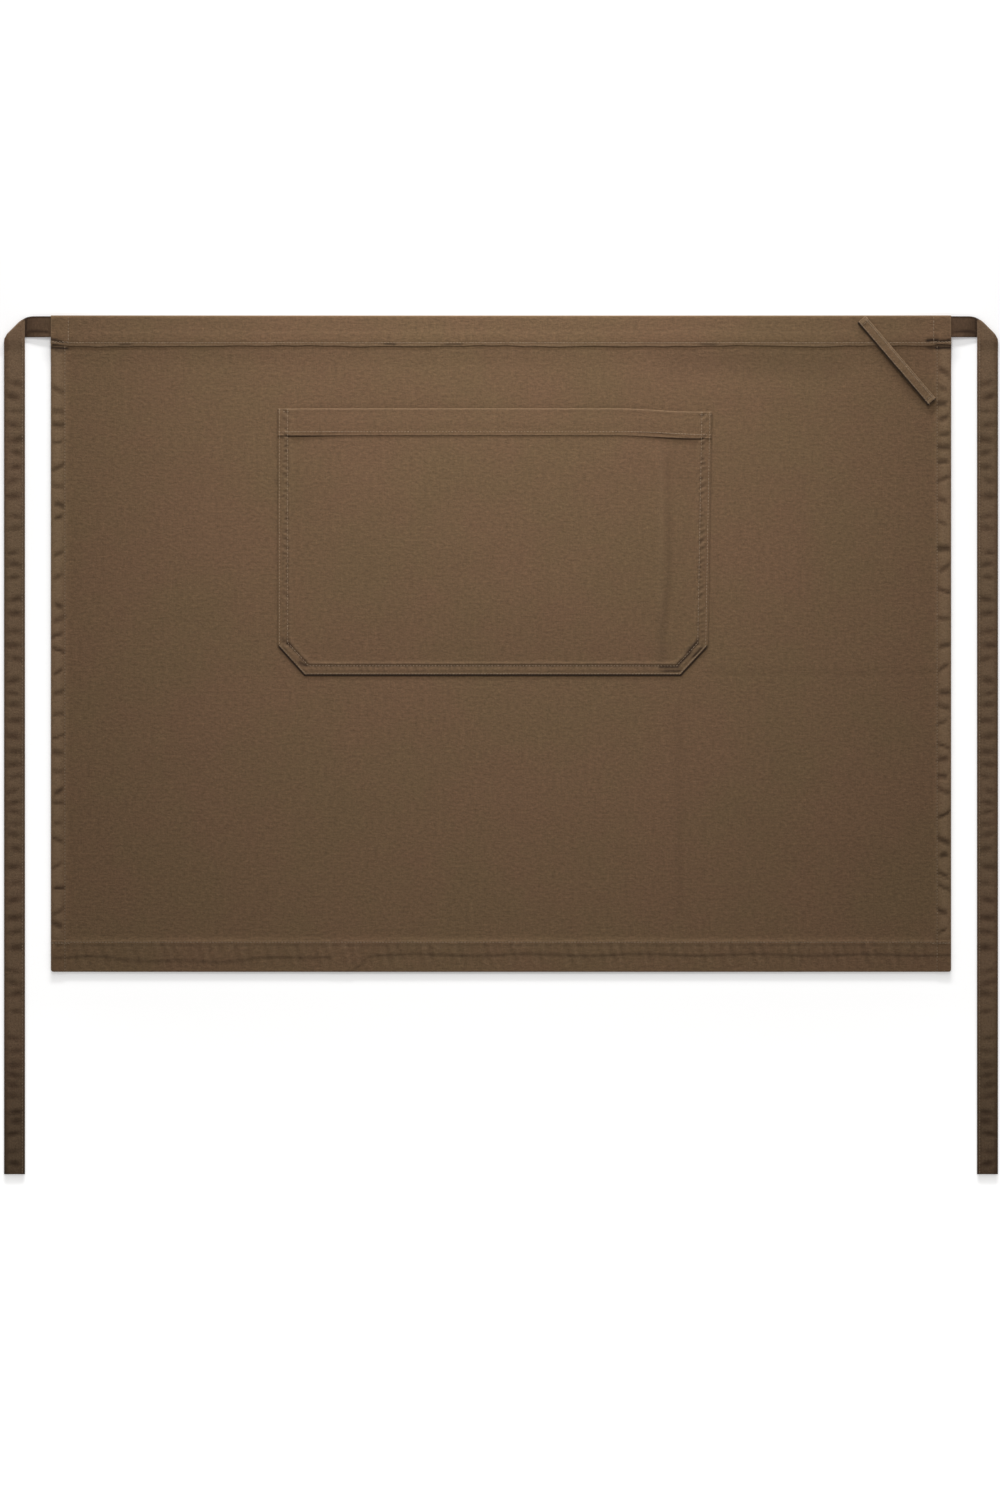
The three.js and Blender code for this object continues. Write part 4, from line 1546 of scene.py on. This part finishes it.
def makeStitches(name, lines):
    points, edges = [], []
    for line in lines:
        first = len(points)
        points += [tuple(p) for p in np.asarray(line) * mm]
        edges += [(first + k, first + k + 1) for k in range(len(line) - 1)]
    mesh = bpy.data.meshes.new("stitchLines")
    mesh.from_pydata(points, edges, [])
    carrier = bpy.data.objects.new("stitchLines", mesh)
    bpy.context.scene.collection.objects.link(carrier)
    modifier = carrier.modifiers.new("stitches", "NODES")
    modifier.node_group = rowTree
    values = {
        "Pitch": stitching["pitch"] * mm,
        "Length": stitching["long"] * mm,
        "Radius": stitching["radius"] * mm,
        "Rise": stitching["rise"] * mm,
        "Seed": stitching["seed"],
    }
    for item in rowTree.interface.items_tree:
        if item.in_out == "INPUT" and item.name in values:
            modifier[item.identifier] = values[item.name]
    evaluated = carrier.evaluated_get(bpy.context.evaluated_depsgraph_get())
    made = bpy.data.meshes.new_from_object(evaluated)
    bpy.data.objects.remove(carrier)

    made.name = name
    made.materials.clear()
    made.materials.append(thread)
    made.shade_smooth()
    piece = bpy.data.objects.new(name, made)
    bpy.context.scene.collection.objects.link(piece)
    print("made", name, len(made.polygons), "faces")
    return piece


def samples(start, end):
    count = max(2, int(math.dist(start, end) / stitching["samples"]))
    share = np.linspace(0, 1, count)
    return start[0] + (end[0] - start[0]) * share, start[1] + (end[1] - start[1]) * share


def panelRow(start, end, lift):
    x, y = samples(start, end)
    return np.stack([x, y, panelLevels(x, y)[0] + lift], axis=1)


def panelStitches():
    end = panelRows["end"]
    bottom, outer = bottomEdge + panel["bottomSeam"], halfWidth - end
    lines = []
    for side in (panel["sideSeam"] - halfWidth, halfWidth - panel["sideSeam"]):
        row = (side, bandLower - panelRows["below"]), (side, bottomEdge + end)
        lines.append(panelRow(*row, threadLift["sideHem"]))
    lines.append(panelRow((-outer, bottom), (outer, bottom), threadLift["lowerHem"]))
    for sign in (-1, 1):
        low, inner = bottom - panelRows["backDrop"], halfWidth - panelRows["back"]
        lines.append(panelRow((sign * outer, low), (sign * inner, low), threadLift["lowerHem"]))
    return makeStitches("panel_stitches", lines)


def bandRow(start, end):
    x, y = samples(start, end)
    return np.stack([x, y, bandFront(x, y) + threadLift["band"]], axis=1)


def bandStitches():
    y, outer = band["seam"], halfWidth - bandRows["end"]
    rows = [((-outer, y), (outer, y))]
    for column in bandRows["tackColumns"]:
        rows.append(((columnAt(column), y), (columnAt(column), topEdge - bandRows["tackTop"])))
    for sign in (-1, 1):
        start, end = (sign * (halfWidth - bandRows[inset]) for inset in ("backFrom", "backTo"))
        rows.append(((start, y + bandRows["backRise"]), (end, y + bandRows["backRise"])))
    return makeStitches("waistband_stitches", [bandRow(*row) for row in rows])


def pocketRow(inset, mouthEnd):
    # along the pocket's border at an inset: down one side, round the chamfers and up the other
    wide, tall = pocket["chamferWide"], pocket["chamferTall"]
    upper = pocketBottom + tall + inset * math.tan(math.atan2(wide, tall) / 2)
    lower = wide + inset * math.tan(math.atan2(tall, wide) / 2)
    corners = [
        (pocketLeft + inset, mouthEnd),
        (pocketLeft + inset, upper),
        (pocketLeft + lower, pocketBottom + inset),
        (pocketRight - lower, pocketBottom + inset),
        (pocketRight - inset, upper),
        (pocketRight + pocket["flare"] - inset, mouthEnd),
    ]
    path = []
    for start, end in zip(corners, corners[1:]):
        path += list(zip(*samples(start, end)))[:-1]
    return np.array(path + corners[-1:]).T


def onPocket(x, y):
    left, right = pocketSides(y)
    share = np.clip((x - left) / (right - left), 0, 1)
    front, _, _, _ = pocketLevels(x, y, share)
    return np.stack([x, y - pocketDrawn(y, share), front + threadLift["pocket"]], axis=1)


def pocketStitches():
    right = pocketRight + pocket["flare"]
    paths = [pocketRow(pocket[row], pocketMouth - pocketRows["top"]) for row in ("outerRow", "innerRow")]
    row, low = pocketMouth - pocket["bandRow"], pocketMouth - pocketRows["backDrop"]
    paths.append(samples((pocketLeft + pocketRows["bandEnd"], row), (right - pocketRows["bandEnd"], row)))
    for sign, edge in ((1, pocketLeft), (-1, right)):
        start, end = (edge + sign * pocketRows[inset] for inset in ("backFrom", "backTo"))
        paths.append(samples((start, low), (end, low)))
    return makeStitches("pocket_stitches", [onPocket(*path) for path in paths])


def loopRow(fromShare, toShare, fromB, toB):
    count = max(3, int(loop["length"] * abs(toShare - fromShare) + abs(toB - fromB)))
    share, b = np.linspace(fromShare, toShare, count), np.linspace(fromB, toB, count)
    x, y = loopPoint(share, b)
    return np.stack([x, y, loopLevels(share, b)[0] + threadLift["loop"]], axis=1)


def loopStitches():
    half = loop["width"] / 2 - loop["edgeRow"] - loopRows["inwards"]
    tip, end = loopRows["end"], loop["endRow"] / loop["length"]
    rows = [(tip, 1 - tip, half, half), (tip, 1 - tip, -half, -half),
            (end, end, -half, half), (1 - end, 1 - end, -half, half)]
    return makeStitches("towel_loop_stitches", [loopRow(*row) for row in rows])


def tieStitches(name, side):
    x = np.arange(squareAgain - tieRows["hidden"], flatEnd - tieRows["end"], stitching["samples"])
    b = 0 * x + tie["width"] / 2 - tie["edgeRow"]
    across, y, z = strapPoint(x, b, 0 * x + threadLift["tie"])
    return makeStitches(name, [np.stack([side * across, y, z], axis=1)])


seams = {
    "panel_stitches": panelStitches(),
    "waistband_stitches": bandStitches(),
    "pocket_stitches": pocketStitches(),
    "towel_loop_stitches": loopStitches(),
    "tie_left_stitches": tieStitches("tie_left_stitches", -1),
    "tie_right_stitches": tieStitches("tie_right_stitches", 1),
}


# What each piece stands for in the frame: it is attached to the root with its stitches, and its CAD part is
# hidden.
def declare(piece, node, withPieces):
    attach(piece, "root")
    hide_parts(node)
    for extra in withPieces:
        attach(extra, "root")


declare(panelCloth, "front_panel", [seams["panel_stitches"]])
declare(bandCloth, "waistband", [seams["waistband_stitches"]])
declare(pocketCloth, "pocket",
        [seams["pocket_stitches"]])
declare(loopCloth, "towel_loop",
        [seams["towel_loop_stitches"]])
for side in ("left", "right"):
    declare(tieCloths["tie_" + side], "tie_" + side,
            [seams["tie_" + side + "_stitches"]])


# The floor, the light and the camera.
stage = {
    "floor": 16.0,
    "sunk": 0.0002,
    "floorColour": (0.9, 0.9, 0.9),
    # how much the floor glows, from the top of the frame to its bottom
    "floorGlow": ((0.2, 0.0), (0.333, 0.07), (0.467, 0.17), (0.6, 0.255), (0.667, 0.275), (0.733, 0.355),
                  (0.8, 0.42), (1.0, 0.56)),
    "farFrom": 1.0,
    "farGlow": 0.56,
    "sideGlow": 0.62,
    "sideMost": 0.2,
    # the painted shadow on the floor below the lower edges: its strength, reach, soft sides and the gap left
    # next to the edge
    "contact": 0.62,
    "contactReach": 15.0,
    "contactSides": 2.5,
    "contactGap": 1.0,
    "distance": 8.0,
    "closer": 1.0012,
    "film": 36.0,
    "sees": 100,
    "world": 0.50,
    "worldColour": (1.0, 0.99, 0.98, 1),
}
keyLight = {"place": (0.0, 1.6, 1.3), "aim": (0.0, 0.36, 0), "cone": 36.0, "radius": 0.22, "power": 112}
rakingLight = {"place": (0.0, 1.75, 0.42), "aim": (0.0, -0.1, 0), "wide": 1.1, "tall": 0.12, "power": 25}
frameTall = photo["height"] * photo["pixel"] * mm


def paintedContactShadow(finish, across, along, middle, halfWide, edge):
    # a painted shadow on the floor just below a lower edge, 1 beside it and 0 a reach away
    soft = stage["contactSides"]
    away = (across.size() - middle * mm).size()
    aside = finish.fade(away, (halfWide - soft) * mm, (halfWide + soft) * mm, 1.0, 0.0)
    lowest, highest = edge - stage["contactReach"], edge - stage["contactGap"]
    return aside * finish.fade(along, lowest * mm, highest * mm, 0.0, 1.0)


def makeFloor():
    half = stage["floor"] / 2
    mesh = bpy.data.meshes.new("floor")
    mesh.from_pydata([(-half, -half, 0), (half, -half, 0), (half, half, 0), (-half, half, 0)], [],
                     [(0, 1, 2, 3)])
    floor = bpy.data.objects.new("floor", mesh)
    floor.location.z = -stage["sunk"]
    bpy.context.scene.collection.objects.link(floor)
    finish = Finish("pale_floor")
    across, along, _ = finish.axes(finish.onObject())
    top = rowAt(0) * mm
    down = finish.fade(along, top, top - frameTall, 0.0, 1.0, soft=False)
    glow = finish.add("ShaderNodeValToRGB", {"stops": stage["floorGlow"]}, {"Fac": down})
    aside = (across * across * stage["sideGlow"]).atMost(stage["sideMost"])
    far = finish.fade(along, stage["farFrom"], rakingLight["place"][1], 0.0, stage["farGlow"], soft=False)
    # painted shadows on the floor below the apron's lower hem and the ties' ends
    contact = paintedContactShadow(finish, across, along, 0, halfWidth, bottomEdge)
    contact = contact + paintedContactShadow(finish, across, along, fallMiddle, tie["width"] / 2, tieLow[1])
    glow = finish.scaled(glow, 1 - contact * stage["contact"])
    glow = finish.add("ShaderNodeVectorMath", {"operation": "ADD"}, {0: glow, 1: aside + far})
    shader = finish.add("ShaderNodeBsdfPrincipled", None, {
        "Base Color": (*stage["floorColour"], 1),
        "Roughness": 0.9,
        "Specular IOR Level": 0.1,
        "Emission Color": glow,
        "Emission Strength": 1.0,
    })
    mesh.materials.append(finish.done(shader))


def makeLights():
    world = bpy.data.worlds.new("studio")
    world.use_nodes = True
    world.node_tree.nodes["Background"].inputs["Color"].default_value = stage["worldColour"]
    world.node_tree.nodes["Background"].inputs["Strength"].default_value = stage["world"]
    bpy.context.scene.world = world

    key = bpy.data.lights.new("keyLight", "SPOT")
    key.spot_size, key.spot_blend = math.radians(keyLight["cone"]), 1.0
    key.shadow_soft_size = keyLight["radius"]
    raking = bpy.data.lights.new("rakingLight", "AREA")
    raking.shape = "RECTANGLE"
    raking.size, raking.size_y = rakingLight["wide"], rakingLight["tall"]
    for light, sizes in ((key, keyLight), (raking, rakingLight)):
        light.energy = sizes["power"]
        lamp = bpy.data.objects.new(light.name, light)
        lamp.location = sizes["place"]
        direction = Vector(sizes["aim"]) - Vector(sizes["place"])
        lamp.rotation_euler = direction.to_track_quat("-Z", "Y").to_euler()
        bpy.context.scene.collection.objects.link(lamp)


def makeCamera():
    data = bpy.data.cameras.new("camera")
    data.sensor_fit = "AUTO"
    data.sensor_width = stage["film"]
    data.lens = stage["film"] * stage["closer"] * stage["distance"] / frameTall
    data.clip_end = stage["sees"]
    camera = bpy.data.objects.new("camera", data)
    camera.location = (columnAt(photo["width"] / 2) * mm, rowAt(photo["height"] / 2) * mm, stage["distance"])
    bpy.context.scene.collection.objects.link(camera)
    bpy.context.scene.camera = camera


makeFloor()
makeLights()
makeCamera()
bpy.context.scene.view_settings.view_transform = "Standard"
print("stage and camera made")
